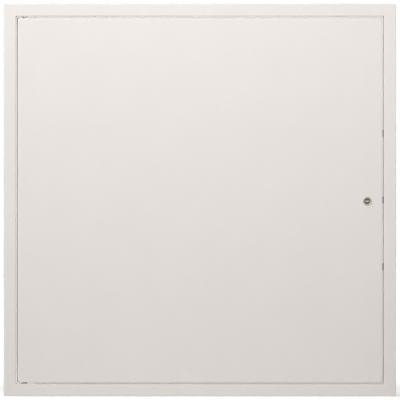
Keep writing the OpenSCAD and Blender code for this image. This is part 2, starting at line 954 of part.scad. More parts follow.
// Cam on the plug's square end, hanging down when the lock is open
module lock_cam() {
    flat_w = cam_w - 2 * cam_tip_r;
    flat_reach = cam_reach - cam_tip_r;
    color("silver")
        on_lock(cam_y)
            linear_extrude(cam_t)
                difference() {
                    union() {
                        circle(d = cam_hub_d);
                        translate([-cam_w / 2, 0]) square([cam_w, flat_reach]);
                        translate([-flat_w / 2, 0]) square([flat_w, cam_reach]);
                        for (s = [-1, 1])
                            translate([s * flat_w / 2, flat_reach]) circle(cam_tip_r);
                    }
                    square(cam_square + 2 * run_fit, center = true);
                }
}

module cam_washer() {
    color("silver")
        on_lock(cam_back_y)
            difference() {
                cylinder(d = cam_washer_d, h = cam_washer_t);
                translate([0, 0, -eps])
                    cylinder(d = cam_screw_d + 2 * hole_fit, h = cam_washer_t + 2 * eps);
            }
}

// Pan-head screw in the end of the plug
module cam_screw() {
    seat_y = cam_back_y + cam_washer_t;
    shank = cam_thread_depth + cam_washer_t - thread_play;
    color("lightgray") {
        on_lock(seat_y - shank) cylinder(d = cam_screw_d, h = shank);
        on_lock(seat_y)
            difference() {
                cylinder(d1 = cam_head_d, d2 = cam_head_top_d, h = cam_head_h);
                translate([0, 0, cam_head_h - drive_depth])
                    linear_extrude(drive_depth + eps)
                        for (a = [0, 90])
                            rotate(a) square([drive_len, drive_w], center = true);
            }
    }
}

top_rail();
bottom_rail();
hinge_rail();
lock_rail();
top_stop();
bottom_stop();
lock_stop();
cleat_top_hinge();
cleat_top_lock();
cleat_bottom_hinge();
cleat_bottom_lock();
cleat_rivets();
upper_bush();
lower_bush();
upper_buffer();
middle_buffer();
lower_buffer();
top_buffer();
door_tray();
hinge_stiffener();
lock_stiffener();
lock_doubler();
upper_pivot_bracket();
lower_pivot_bracket();
lower_pivot_pin();
spring_bolt();
bolt_clip();
bolt_spring();
lock_body();
lock_washer();
lock_nut();
lock_plug();
lock_cam();
cam_washer();
cam_screw();
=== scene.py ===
"""Dresses a flush metal access panel: a folded frame, a pivoted tray door and a cam lock.

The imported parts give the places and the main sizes. Each sub-assembly turns its parts into
finished meshes with rounded edges, threads, welds and rivets, and gives them their finishes.
"""

import json
import logging
import math
from dataclasses import dataclass, field
from enum import Enum
from typing import Any, Callable, Sequence

import bmesh
import bpy
from bmesh.types import BMEdge, BMesh
from bpy.types import ID, Material, Mesh, Node, NodeSocket, NodeTree, Object
from mathutils import Matrix, Vector


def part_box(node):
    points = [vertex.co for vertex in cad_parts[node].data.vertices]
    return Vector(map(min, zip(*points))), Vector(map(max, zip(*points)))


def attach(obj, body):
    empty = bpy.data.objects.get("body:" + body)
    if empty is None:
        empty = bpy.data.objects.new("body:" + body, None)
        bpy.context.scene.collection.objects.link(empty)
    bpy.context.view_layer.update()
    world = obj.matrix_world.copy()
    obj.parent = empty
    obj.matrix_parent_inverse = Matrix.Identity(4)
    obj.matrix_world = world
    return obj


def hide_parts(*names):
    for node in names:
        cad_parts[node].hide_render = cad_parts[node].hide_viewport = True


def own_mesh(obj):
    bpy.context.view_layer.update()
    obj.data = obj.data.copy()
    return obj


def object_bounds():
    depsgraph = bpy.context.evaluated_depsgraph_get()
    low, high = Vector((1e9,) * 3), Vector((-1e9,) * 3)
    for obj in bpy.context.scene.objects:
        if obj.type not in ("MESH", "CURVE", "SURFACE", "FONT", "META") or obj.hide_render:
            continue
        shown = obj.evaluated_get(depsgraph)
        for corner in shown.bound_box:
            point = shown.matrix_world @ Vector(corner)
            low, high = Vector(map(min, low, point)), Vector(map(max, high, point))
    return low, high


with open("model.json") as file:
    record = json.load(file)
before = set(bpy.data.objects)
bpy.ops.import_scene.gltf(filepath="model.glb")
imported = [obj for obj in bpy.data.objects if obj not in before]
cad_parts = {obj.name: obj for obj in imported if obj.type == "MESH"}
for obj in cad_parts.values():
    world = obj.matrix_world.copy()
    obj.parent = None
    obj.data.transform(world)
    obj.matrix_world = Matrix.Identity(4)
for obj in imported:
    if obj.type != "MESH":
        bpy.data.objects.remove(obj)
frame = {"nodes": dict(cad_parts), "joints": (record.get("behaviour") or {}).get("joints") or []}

CAD_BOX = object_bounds()
MM = 0.001
NEAR_MM = 0.01
WELD_DISTANCE = 0.002 * MM
ROUND_STEPS = 2
FLAT_ANGLE = math.radians(0.5)
SHARP_ANGLE = math.radians(38)
# Distance at which a wave texture of scale 1 repeats
WAVE_LENGTH = math.pi / 10
WHITE = "FFFFFF"
log = logging.getLogger("access_panel")

Profile = Sequence[tuple[float, float]]
ShapeRule = Callable[[float, float, float], float]


class Body(Enum):
    """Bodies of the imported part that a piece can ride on."""

    FRAME = "frame"
    DOOR = "door"
    PIVOT_BOLT = "pivot_bolt"
    LATCH = "latch"


class Slot(Enum):
    """Material slots of the record that the finishes take."""

    POWDER_COAT = "powder_coat"
    GALVANISED_STEEL = "galvanised_steel"
    ZINC_PLATE = "zinc_plate"
    NICKEL_PLATE = "nickel_plate"
    SPRING_STEEL = "spring_steel"
    NYLON = "nylon"
    RUBBER = "rubber"


class Facing(Enum):
    """Directions that a stamped detail can face."""

    LEFT = (-1.0, 0.0, 0.0)
    RIGHT = (1.0, 0.0, 0.0)
    BACK = (0.0, 1.0, 0.0)
    DOWN = (0.0, 0.0, -1.0)
    UP = (0.0, 0.0, 1.0)

    def turn(self) -> tuple[float, float, float]:
        """Gives the Euler angles that turn +Z to this direction."""
        return tuple(Vector(self.value).to_track_quat("Z", "Y").to_euler())


def linear(hex_colour: str) -> tuple[float, float, float, float]:
    """Turns an sRGB colour into linear light.

    Args:
        hex_colour: Six hex digits.

    Returns:
        Red, green and blue, with an alpha of 1.
    """
    shares = [int(hex_colour[i:i + 2], 16) / 255 for i in (0, 2, 4)]
    red, green, blue = [c / 12.92 if c <= 0.04045 else ((c + 0.055) / 1.055) ** 2.4 for c in shares]
    return red, green, blue, 1.0


def per_metre(size_mm: float) -> float:
    """Gives the texture scale at which one feature measures size_mm."""
    return 1.0 / (size_mm * MM)


def set_inputs(tree: NodeTree, node: Node, inputs: dict[Any, Any]) -> None:
    """Sets or links a node's inputs.

    Args:
        tree: Tree that the node is in.
        node: Node whose inputs are set.
        inputs: Socket to link from, or value to set, by input name or number.
    """
    for key, value in inputs.items():
        if isinstance(value, NodeSocket):
            tree.links.new(value, node.inputs[key])
        else:
            node.inputs[key].default_value = value


def add_node(tree: NodeTree, kind: str, inputs: dict[Any, Any] | None = None, **settings: Any) -> Node:
    """Adds a node with its settings and links.

    Args:
        tree: Tree to add to.
        kind: Blender's name for the node.
        inputs: Socket to link from, or value to set, by input name or number.
        settings: Properties of the node itself.

    Returns:
        The new node.
    """
    node = tree.nodes.new(kind)
    for name, value in settings.items():
        setattr(node, name, value)
    set_inputs(tree, node, inputs or {})
    return node


@dataclass(frozen=True)
class Canvas:
    """What a finish is painted on: a material's tree, its shader and its Object coordinates."""

    tree: NodeTree
    shader: Node
    place: NodeSocket


@dataclass(frozen=True, kw_only=True)
class Finish:
    """A surface of two close tones and two close roughnesses with a fine relief.

    Each kind of finish makes the patterns that mix them.
    """

    name: str
    slot: Slot
    tones: tuple[str, str]
    rough: tuple[float, float]
    relief_mm: float

    def material(self) -> Material:
        """Makes the material at the first call and hands out the same one afterwards.

        Returns:
            The material with its node tree.
        """
        made = bpy.data.materials.get(self.name)
        if made is None:
            made = bpy.data.materials.new(self.name)
            made.use_nodes = True
            tree = made.node_tree
            place = add_node(tree, "ShaderNodeTexCoord").outputs["Object"]
            self.paint(Canvas(tree, tree.nodes["Principled BSDF"], place))
        return made

    def paint(self, on: Canvas) -> None:
        """Builds the finish's nodes.

        Args:
            on: What it is painted on.
        """
        raise NotImplementedError

    def lay(
        self, on: Canvas, tone: NodeSocket, gloss: NodeSocket, height: NodeSocket,
        under: NodeSocket | None = None,
    ) -> NodeSocket:
        """Mixes the tones and the roughnesses and raises the relief, each by a pattern.

        Args:
            on: What the finish is painted on.
            tone: Pattern of the tones.
            gloss: Pattern of the roughnesses.
            height: Pattern of the relief.
            under: Normal of a coarser relief below it, if there is one.

        Returns:
            The mixed colour.
        """
        first, second = [linear(t) for t in self.tones]
        colour = add_node(on.tree, "ShaderNodeMix", {0: tone, 6: first, 7: second}, data_type="RGBA")
        rough = add_node(
            on.tree, "ShaderNodeMapRange",
            {"Value": gloss, "To Min": self.rough[0], "To Max": self.rough[1]},
        )
        relief = add_node(
            on.tree, "ShaderNodeBump", {"Height": height, "Distance": self.relief_mm * MM}
        )
        if under is not None:
            set_inputs(on.tree, relief, {"Normal": under})
        set_inputs(on.tree, on.shader, {
            "Base Color": colour.outputs[2], "Roughness": rough.outputs["Result"],
            "Normal": relief.outputs["Normal"],
        })
        return colour.outputs[2]


@dataclass(frozen=True, kw_only=True)
class PowderCoat(Finish):
    """Satin polyester powder baked on sheet steel."""

    cloud_mm: float
    buckle_mm: float
    buckle_depth_mm: float
    peel_mm: float
    peel_grain: float
    matt: float
    ior: float

    def paint(self, on: Canvas) -> None:
        """Builds the finish's nodes.

        Args:
            on: What it is painted on.
        """
        # Baked powder flows to a fine orange peel on a sheet that is never quite flat, so its
        # broad sheen is a little broken and drifts slowly across the door.
        # Real peel is nearer 0.01 mm deep; it is drawn deeper so that close views show it
        cloud, buckle, peel = [
            add_node(
                on.tree, "ShaderNodeTexNoise",
                {"Vector": on.place, "Scale": per_metre(size), "Detail": detail},
            )
            for size, detail in ((self.cloud_mm, 3.0), (self.buckle_mm, 0.0), (self.peel_mm, 2.0))
        ]
        set_inputs(on.tree, peel, {"Roughness": self.peel_grain})
        sheet = add_node(
            on.tree, "ShaderNodeBump",
            {"Height": buckle.outputs["Fac"], "Distance": self.buckle_depth_mm * MM},
        )
        drift = cloud.outputs["Fac"]
        self.lay(on, drift, drift, peel.outputs["Fac"], sheet.outputs["Normal"])
        set_inputs(on.tree, on.shader, {"IOR": self.ior, "Diffuse Roughness": self.matt})


@dataclass(frozen=True, kw_only=True)
class GalvanisedSteel(Finish):
    """Hot-dip galvanised sheet with its spangle."""

    spangle_mm: float
    ragged_mm: float
    ragged_reach_mm: float
    frost_mm: float
    frost_share: float

    def paint(self, on: Canvas) -> None:
        """Builds the finish's nodes.

        Args:
            on: What it is painted on.
        """
        # Zinc sets in flat ragged crystals, each with its own grey and its own sheen
        ragged, frost = [
            add_node(
                on.tree, "ShaderNodeTexNoise",
                {"Vector": on.place, "Scale": per_metre(size), "Detail": 2.0},
            )
            for size in (self.ragged_mm, self.frost_mm)
        ]
        reach = (self.ragged_reach_mm * MM,) * 3
        bent = add_node(
            on.tree, "ShaderNodeVectorMath", {0: ragged.outputs["Color"], 1: reach, 2: on.place},
            operation="MULTIPLY_ADD",
        )
        crystal = add_node(
            on.tree, "ShaderNodeTexVoronoi",
            {"Vector": bent.outputs["Vector"], "Scale": per_metre(self.spangle_mm)},
        )
        draw = add_node(on.tree, "ShaderNodeSeparateColor", {"Color": crystal.outputs["Color"]})
        grey = add_node(
            on.tree, "ShaderNodeMath",
            {0: frost.outputs["Fac"], 1: self.frost_share, 2: draw.outputs["Red"]},
            operation="MULTIPLY_ADD",
        )
        self.lay(on, grey.outputs["Value"], draw.outputs["Green"], frost.outputs["Fac"])
        set_inputs(on.tree, on.shader, {"Metallic": 1.0})


@dataclass(frozen=True, kw_only=True)
class ToolMarkedMetal(Finish):
    """Metal with two close tones that drift, and fine marks from drawing or turning."""

    drift_mm: float
    mark_mm: float
    mark_stretch: tuple[float, float, float]

    def paint(self, on: Canvas) -> None:
        """Builds the finish's nodes.

        Args:
            on: What it is painted on.
        """
        # The tone drifts with the plating and its passivation, and the marks run one way,
        # so highlights are streaked instead of clean
        pulled = add_node(
            on.tree, "ShaderNodeMapping", {"Vector": on.place, "Scale": self.mark_stretch}
        )
        drift, marks = [
            add_node(
                on.tree, "ShaderNodeTexNoise",
                {"Vector": vector, "Scale": per_metre(size), "Detail": 3.0},
            ).outputs["Fac"]
            for vector, size in ((on.place, self.drift_mm), (pulled.outputs["Vector"], self.mark_mm))
        ]
        self.lay(on, drift, marks, marks)
        set_inputs(on.tree, on.shader, {"Metallic": 1.0})


@dataclass(frozen=True, kw_only=True)
class TurnedNickel(Finish):
    """Dull nickel plate on parts turned about an axis along Y."""

    centre: tuple[float, float, float]
    # Colour, reach round the axis and depths of the painted shade in the key recess
    recess_shade: str
    recess_shade_r_mm: float
    recess_shade_from_mm: float
    recess_shade_to_mm: float
    tarnish_mm: float
    ring_mm: float
    ring_waver: float

    def paint(self, on: Canvas) -> None:
        """Builds the finish's nodes.

        Args:
            on: What it is painted on.
        """
        # Turning leaves fine rings under the plate, and handling dulls it to a warm grey. The key
        # # recess is painted darker with depth as painted shade, while the bits at its front keep the
        # plate's tone.
        # Real rings are near 0.1 mm apart; they are drawn coarser so that close views show them
        tree = on.tree
        round_axis = add_node(
            tree, "ShaderNodeMapping",
            {"Vector": on.place, "Location": tuple(-c for c in self.centre)},
        )
        centred = round_axis.outputs["Vector"]
        rings = add_node(
            tree, "ShaderNodeTexWave",
            {
                "Vector": centred, "Scale": per_metre(self.ring_mm) * WAVE_LENGTH,
                "Distortion": self.ring_waver,
            },
            wave_type="RINGS", rings_direction="Y",
        )
        tarnish = add_node(
            tree, "ShaderNodeTexNoise",
            {"Vector": on.place, "Scale": per_metre(self.tarnish_mm), "Detail": 4.0},
        )
        worn = tarnish.outputs["Fac"]
        plate = self.lay(on, worn, worn, rings.outputs["Fac"])
        axial = add_node(tree, "ShaderNodeSeparateXYZ", {0: on.place})
        deep = add_node(
            tree, "ShaderNodeMapRange",
            {
                "Value": axial.outputs["Y"], "From Min": self.recess_shade_from_mm * MM,
                "From Max": self.recess_shade_to_mm * MM,
            },
        )
        flat = add_node(
            tree, "ShaderNodeVectorMath", {0: centred, 1: (1.0, 0.0, 1.0)}, operation="MULTIPLY"
        )
        reach = add_node(tree, "ShaderNodeVectorMath", {0: flat.outputs["Vector"]}, operation="LENGTH")
        inside = add_node(
            tree, "ShaderNodeMath", {0: reach.outputs["Value"], 1: self.recess_shade_r_mm * MM},
            operation="LESS_THAN",
        )
        # Painted shade: deeper in the key recess the plate turns to the darker recess colour
        shade_share = add_node(
            tree, "ShaderNodeMath", {0: deep.outputs[0], 1: inside.outputs[0]}, operation="MULTIPLY"
        )
        shaded_plate = add_node(
            tree, "ShaderNodeMix", {0: shade_share.outputs[0], 6: plate, 7: linear(self.recess_shade)},
            data_type="RGBA",
        )
        set_inputs(tree, on.shader, {"Base Color": shaded_plate.outputs[2], "Metallic": 1.0})


@dataclass(frozen=True, kw_only=True)
class MouldedPolymer(Finish):
    """Moulded plastic or rubber with a fine grain."""

    mottle_mm: float
    grain_mm: float
    ior: float
    glow: float = 0.0
    glow_depth_mm: float = 1.2

    def paint(self, on: Canvas) -> None:
        """Builds the finish's nodes.

        Args:
            on: What it is painted on.
        """
        # Natural nylon lets a little light in and looks soft at its edges; rubber drinks it,
        # and its dusty grain leaves only a broad dull sheen
        mottle, grain = [
            add_node(
                on.tree, "ShaderNodeTexNoise",
                {"Vector": on.place, "Scale": per_metre(size), "Detail": detail},
            ).outputs["Fac"]
            for size, detail in ((self.mottle_mm, 3.0), (self.grain_mm, 2.0))
        ]
        self.lay(on, mottle, grain, grain)
        set_inputs(on.tree, on.shader, {
            "IOR": self.ior, "Subsurface Weight": self.glow,
            "Subsurface Scale": self.glow_depth_mm * MM,
        })


def joint(name: str) -> dict[str, Any]:
    """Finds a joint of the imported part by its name."""
    return next(j for j in frame["joints"] if j["name"] == name)


LOCK_AXIS = Vector(joint("latch_turn")["pos_m"])
POWDER = PowderCoat(
    name="satin_white_powder_coat", slot=Slot.POWDER_COAT, tones=("E7E3E0", "EBE7E4"),
    rough=(0.48, 0.58), relief_mm=0.110, cloud_mm=70.0, buckle_mm=190.0, buckle_depth_mm=0.22,
    peel_mm=2.4, peel_grain=0.4, matt=0.7, ior=1.5,
)
GALVANISED = GalvanisedSteel(
    name="spangled_galvanised_steel", slot=Slot.GALVANISED_STEEL, tones=("858786", "ADAFAE"),
    rough=(0.54, 0.68), relief_mm=0.006, spangle_mm=9.0, ragged_mm=3.0, ragged_reach_mm=2.2,
    frost_mm=0.9, frost_share=0.35,
)
# The darker recess colour is painted shade in the lock's key recess
NICKEL = TurnedNickel(
    name="dull_nickel_plate", slot=Slot.NICKEL_PLATE, tones=("A49F94", "C9C3B7"),
    rough=(0.48, 0.34), relief_mm=0.004, centre=tuple(LOCK_AXIS), recess_shade="7C786D", recess_shade_r_mm=4.7,
    recess_shade_from_mm=-3.6, recess_shade_to_mm=-2.2, tarnish_mm=3.5, ring_mm=0.45, ring_waver=0.6,
)
# Bright zinc shows a cool base with straw-coloured patches from its passivation
ZINC = ToolMarkedMetal(
    name="bright_zinc_plate", slot=Slot.ZINC_PLATE, tones=("B4B9C0", "D3CEC0"), rough=(0.24, 0.38),
    relief_mm=0.006, drift_mm=9.0, mark_mm=0.8, mark_stretch=(1.0, 1.0, 0.12),
)
# Oiled spring wire is nearly black, with bright lines along the draw
SPRING = ToolMarkedMetal(
    name="oiled_spring_steel", slot=Slot.SPRING_STEEL, tones=("56575B", "77777A"),
    rough=(0.26, 0.42), relief_mm=0.003, drift_mm=5.0, mark_mm=0.5, mark_stretch=(1.0, 1.0, 1.0),
)
NYLON = MouldedPolymer(
    name="natural_nylon", slot=Slot.NYLON, tones=("E4E0D4", "EDEAE1"), rough=(0.42, 0.58),
    relief_mm=0.010, mottle_mm=6.0, grain_mm=0.7, ior=1.53, glow=0.18,
)
RUBBER = MouldedPolymer(
    name="moulded_grey_rubber", slot=Slot.RUBBER, tones=("918E8A", "A5A29E"), rough=(0.72, 0.92),
    relief_mm=0.025, mottle_mm=4.0, grain_mm=0.6, ior=1.52,
)


def linked(name: str, data: ID) -> Object:
    """Makes an object of a mesh, lamp or camera in the scene.

    Args:
        name: Name of the object.
        data: What it shows.

    Returns:
        The new object.
    """
    obj = bpy.data.objects.new(name, data)
    bpy.context.scene.collection.objects.link(obj)
    return obj


def plain_mesh(name: str, bm: BMesh) -> Mesh:
    """Turns a bmesh into a mesh.

    Args:
        name: Name of the mesh.
        bm: The shape, which is freed.

    Returns:
        The mesh.
    """
    mesh = bpy.data.meshes.new(name)
    bm.to_mesh(mesh)
    bm.free()
    return mesh


def shade(mesh: Mesh) -> None:
    """Shades a mesh smooth apart from its sharp edges."""
    mesh.polygons.foreach_set("use_smooth", [True] * len(mesh.polygons))
    mesh.set_sharp_from_angle(angle=SHARP_ANGLE)


def settle(obj: Object) -> Object:
    """Turns what an object's modifiers make into its own plain mesh.

    Args:
        obj: Object with modifiers.

    Returns:
        The same object, without modifiers.
    """
    graph = bpy.context.evaluated_depsgraph_get()
    mesh = bpy.data.meshes.new_from_object(
        obj.evaluated_get(graph), preserve_all_data_layers=True, depsgraph=graph
    )
    obj.modifiers.clear()
    obj.data = mesh
    return obj


def to_object(name: str, bm: BMesh, place: Matrix | None = None) -> Object:
    """Makes an object of a bmesh, with its place in the mesh.

    Args:
        name: Name of the object and its mesh.
        bm: The shape, which is freed.
        place: Move to its place, if it isn't there yet.

    Returns:
        The linked object, with normals that follow its large faces.
    """
    if place is not None:
        bmesh.ops.transform(bm, matrix=place, verts=bm.verts)
    mesh = plain_mesh(name, bm)
    stale = mesh.attributes.get("custom_normal")
    if stale is not None:
        mesh.attributes.remove(stale)
    shade(mesh)
    obj = linked(name, mesh)
    obj.modifiers.new("weighted_normals", "WEIGHTED_NORMAL").keep_sharp = True
    return settle(obj)


def joined(name: str, parts: Sequence[Object]) -> Object:
    """Joins objects at the origin into one.

    Args:
        name: Name of the joined object.
        parts: Objects to join, which are removed.

    Returns:
        The joined object.
    """
    bm = bmesh.new()
    for part in parts:
        bm.from_mesh(part.data)
        bpy.data.objects.remove(part)
    mesh = plain_mesh(name, bm)
    shade(mesh)
    return linked(name, mesh)


def lies_in_mitre(edge: BMEdge) -> bool:
    """Says whether an edge lies in one of the frame's mitre planes."""
    return all(abs(abs(v.co.x) - abs(v.co.z)) < WELD_DISTANCE for v in edge.verts)


def finished_copy(node: str, soften_mm: float, mitred: bool = False) -> Object:
    """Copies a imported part, joins its triangles into faces and rounds its sharp edges.

    Args:
        node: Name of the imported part.
        soften_mm: Width of the rounding.
        mitred: Leaves the edges in the frame's mitre planes sharp, so that a ground joint
            shows no seam.

    Returns:
        The finished object.
    """
    bm = bmesh.new()
    bm.from_mesh(frame["nodes"][node].data)
    bmesh.ops.remove_doubles(bm, verts=bm.verts, dist=WELD_DISTANCE)
    bmesh.ops.dissolve_limit(bm, angle_limit=FLAT_ANGLE, verts=bm.verts, edges=bm.edges)
    sharp = [
        e for e in bm.edges
        if len(e.link_faces) == 2 and e.calc_face_angle(0.0) > SHARP_ANGLE
        and not (mitred and lies_in_mitre(e))
    ]
    bmesh.ops.bevel(
        bm, geom=sharp, offset=soften_mm * MM, offset_type="OFFSET", segments=ROUND_STEPS,
        profile=0.5, affect="EDGES", clamp_overlap=True,
    )
    for face in bm.faces:
        face.material_index = 0
    return to_object(f"{node}_finished", bm)


def quarter(steps: int) -> list[tuple[float, float]]:
    """Gives the sine and cosine at even steps through a quarter turn."""
    angles = [math.pi / 2 * i / steps for i in range(steps + 1)]
    return [(math.sin(a), math.cos(a)) for a in angles]


def fillet(points: Profile, radius_mm: float, steps: int = 3, most: float = 0.45) -> Profile:
    """Rounds the inner corners of a profile.

    Args:
        points: Radius and height of each corner in millimetres.
        radius_mm: Length that the rounding takes from each side of a corner.
        steps: Number of new points at a corner, less one.
        most: Largest share of a side that a rounding takes.

    Returns:
        The rounded profile, with its first and last points kept.
    """
    rounded = [points[0]]
    for before, corner, after in zip(points, points[1:], points[2:]):
        here = Vector(corner)
        back, ahead = Vector(before) - here, Vector(after) - here
        start = here + back.normalized() * min(radius_mm, most * back.length)
        end = here + ahead.normalized() * min(radius_mm, most * ahead.length)
        for i in range(steps + 1):
            t = i / steps
            rounded.append(tuple((1 - t) ** 2 * start + 2 * t * (1 - t) * here + t * t * end))
    return rounded + [points[-1]]


def turned(profile: Profile, steps: int, rule: ShapeRule | None = None) -> BMesh:
    """Turns a profile about the Z axis into a closed shell.

    Args:
        profile: Radius and height in millimetres; a loop, unless both ends lie on the axis.
        steps: Number of points round the axis.
        rule: Gives the radius at a radius, height and angle, for what isn't round.

    Returns:
        The shell, in metres, with its faces pointing outwards.
    """
    bm = bmesh.new()
    rings = []
    for radius, height in profile:
        ring = []
        for i in range(steps if radius > 0 else 1):
            angle = 2 * math.pi * i / steps
            r = rule(radius, height, angle) if rule and radius > 0 else radius
            ring.append(bm.verts.new((r * math.cos(angle) * MM, r * math.sin(angle) * MM, height * MM)))
        rings.append(ring)
    pairs = list(zip(rings, rings[1:]))
    if len(rings[0]) > 1:
        pairs.append((rings[-1], rings[0]))
    for low, high in pairs:
        for i in range(steps):
            j = (i + 1) % steps
            corners = [low[i % len(low)], low[j % len(low)], high[j % len(high)], high[i % len(high)]]
            bm.faces.new(list(dict.fromkeys(corners)))
    bmesh.ops.recalc_face_normals(bm, faces=bm.faces)
    return bm


def thread_share(height: float, angle: float, pitch: float, flat: float = 0.12) -> float:
    """Gives how deep a screw thread is cut at a point.

    Args:
        height: Along the axis, in millimetres.
        angle: Round the axis, in radians.
        pitch: Distance between two crests, in millimetres.
        flat: Share of the pitch that a crest or a root is flat.

    Returns:
        Zero on a crest and one in a root, with straight flanks between them.
    """
    phase = (height / pitch - angle / (2 * math.pi)) % 1.0
    return min(1.0, max(0.0, (abs(2 * phase - 1) - flat) / (1 - 2 * flat)))


def new_tree(name: str, inputs: dict[str, str]) -> tuple[NodeTree, dict[str, NodeSocket]]:
    """Starts a Geometry Nodes tree, with a material among its inputs.

    Args:
        name: Name of the tree.
        inputs: Kind of each other input, by its name.

    Returns:
        The tree and the sockets that give its inputs.
    """
    inputs = {**inputs, "Material": "Material"}
    tree = bpy.data.node_groups.new(name, "GeometryNodeTree")
    tree.interface.new_socket("Geometry", in_out="OUTPUT", socket_type="NodeSocketGeometry")
    for label, kind in inputs.items():
        tree.interface.new_socket(label, in_out="INPUT", socket_type=f"NodeSocket{kind}")
    given = add_node(tree, "NodeGroupInput").outputs
    return tree, {label: given[label] for label in inputs}


def end_tree(tree: NodeTree, shape: NodeSocket, material: NodeSocket) -> None:
    """Ends a tree: instances made real, then the material.

    Args:
        tree: The tree.
        shape: What it has made.
        material: Its material input.
    """
    real = add_node(tree, "GeometryNodeRealizeInstances", {0: shape})
    coated = add_node(
        tree, "GeometryNodeSetMaterial", {"Geometry": real.outputs[0], "Material": material}
    )
    add_node(tree, "NodeGroupOutput", {"Geometry": coated.outputs[0]})


def stamped_row_tree() -> NodeTree:
    """Builds the tree that sets copies of one stamped shape along a straight row.

    Returns:
        The tree.
    """
    tree, given = new_tree("stamped_row", {
        "Stamp": "Object", "Start": "Vector", "End": "Vector", "Count": "Int", "Facing": "Vector",
        "Jitter": "Float", "Seed": "Int",
    })
    line = add_node(
        tree, "GeometryNodeMeshLine",
        {"Count": given["Count"], "Start Location": given["Start"], "Offset": given["End"]},
        mode="END_POINTS",
    )
    stamp = add_node(tree, "GeometryNodeObjectInfo", {"Object": given["Stamp"]})
    facing = add_node(tree, "FunctionNodeEulerToRotation", {0: given["Facing"]})
    least = add_node(tree, "ShaderNodeMath", {0: 1.0, 1: given["Jitter"]}, operation="SUBTRACT")
    # Input 2 and output 1 are the plain numbers among the kinds of value that this node draws
    size = add_node(
        tree, "FunctionNodeRandomValue", {2: least.outputs[0], "Seed": given["Seed"]},
        data_type="FLOAT",
    )
    row = add_node(
        tree, "GeometryNodeInstanceOnPoints",
        {
            "Points": line.outputs["Mesh"], "Instance": stamp.outputs["Geometry"],
            "Rotation": facing.outputs["Rotation"], "Scale": size.outputs[1],
        },
    )
    end_tree(tree, row.outputs["Instances"], given["Material"])
    return tree


def toothed_ring_tree() -> NodeTree:
    """Builds the tree that sets teeth round a ring.

    Returns:
        The tree.
    """
    tree, given = new_tree(
        "toothed_ring", {"Ring": "Object", "Tooth": "Object", "Count": "Int", "Radius": "Float"}
    )
    ring, tooth = [
        add_node(tree, "GeometryNodeObjectInfo", {"Object": given[part]}) for part in ("Ring", "Tooth")
    ]
    points = add_node(
        tree, "GeometryNodeMeshCircle", {"Vertices": given["Count"], "Radius": given["Radius"]}
    )
    index = add_node(tree, "GeometryNodeInputIndex")
    step = add_node(tree, "ShaderNodeMath", {0: 2 * math.pi, 1: given["Count"]}, operation="DIVIDE")
    angle = add_node(
        tree, "ShaderNodeMath", {0: index.outputs[0], 1: step.outputs[0]}, operation="MULTIPLY"
    )
    euler = add_node(tree, "ShaderNodeCombineXYZ", {"Z": angle.outputs[0]})
    turn = add_node(tree, "FunctionNodeEulerToRotation", {0: euler.outputs[0]})
    teeth = add_node(
        tree, "GeometryNodeInstanceOnPoints",
        {
            "Points": points.outputs["Mesh"], "Instance": tooth.outputs["Geometry"],
            "Rotation": turn.outputs["Rotation"],
        },
    )
    both = add_node(tree, "GeometryNodeJoinGeometry", {0: ring.outputs["Geometry"]})
    set_inputs(tree, both, {0: teeth.outputs["Instances"]})
    end_tree(tree, both.outputs[0], given["Material"])
    return tree


def coil_tree(coil_points: int = 40, wire_points: int = 14) -> NodeTree:
    """Builds the tree that winds a compression spring with one closed coil at each end.

    Args:
        coil_points: Number of points in one coil.
        wire_points: Number of points round the wire.

    Returns:
        The tree.
    """
    tree, given = new_tree(
        "compression_spring",
        {"Coils": "Float", "Mean Radius": "Float", "Height": "Float", "Wire Radius": "Float"},
    )
    coils, radius, wire = given["Coils"], given["Mean Radius"], given["Wire Radius"]
    helix = add_node(
        tree, "GeometryNodeCurveSpiral",
        {
            "Resolution": coil_points, "Rotations": coils, "Start Radius": radius,
            "End Radius": radius, "Height": 0.0,
        },
    )
    along = add_node(tree, "GeometryNodeSplineParameter")
    # A closed coil rises by the thickness of its wire, and the open ones share the rest
    wound, closed, last = [
        add_node(tree, "ShaderNodeMath", {0: first, 1: second}, operation=operation).outputs[0]
        for first, second, operation in (
            (along.outputs["Factor"], coils, "MULTIPLY"), (wire, 2.0, "MULTIPLY"),
            (coils, 1.0, "SUBTRACT"),
        )
    ]
    upper = add_node(tree, "ShaderNodeMath", {0: given["Height"], 1: closed}, operation="SUBTRACT")
    low_coil, open_coils, high_coil = [
        add_node(
            tree, "ShaderNodeMapRange",
            {"Value": wound, "From Min": start, "From Max": end, "To Max": rise},
        ).outputs[0]
        for start, end, rise in (
            (0.0, 1.0, closed), (1.0, last, upper.outputs[0]), (last, coils, closed),
        )
    ]
    lift = add_node(tree, "ShaderNodeMath", {0: low_coil, 1: open_coils}, operation="MAXIMUM")
    height = add_node(tree, "ShaderNodeMath", {0: lift.outputs[0], 1: high_coil}, operation="ADD")
    offset = add_node(tree, "ShaderNodeCombineXYZ", {"Z": height.outputs[0]})
    lifted = add_node(
        tree, "GeometryNodeSetPosition", {0: helix.outputs[0], "Offset": offset.outputs[0]}
    )
    section = add_node(
        tree, "GeometryNodeCurvePrimitiveCircle", {"Resolution": wire_points, "Radius": wire}
    )
    swept = add_node(
        tree, "GeometryNodeCurveToMesh",
        {0: lifted.outputs[0], 1: section.outputs["Curve"], "Fill Caps": True},
    )
    end_tree(tree, swept.outputs[0], given["Material"])
    return tree


def run_tree(tree: NodeTree, name: str, values: dict[str, Any]) -> Object:
    """Runs a tree and keeps its result as a plain mesh.

    Args:
        tree: The tree.
        name: Name of the new object.
        values: Value of each named input.

    Returns:
        The new object.
    """
    obj = linked(name, bpy.data.meshes.new(name))
    modifier = obj.modifiers.new(tree.name, "NODES")
    modifier.node_group = tree
    for item in tree.interface.items_tree:
        if item.in_out == "INPUT":
            modifier[item.identifier] = values[item.name]
    settle(obj)
    shade(obj.data)
    return obj


@dataclass
class Row:
    """A straight row of stamped details, from one point to another in metres."""

    start: Vector
    end: Vector
    count: int
    facing: Facing


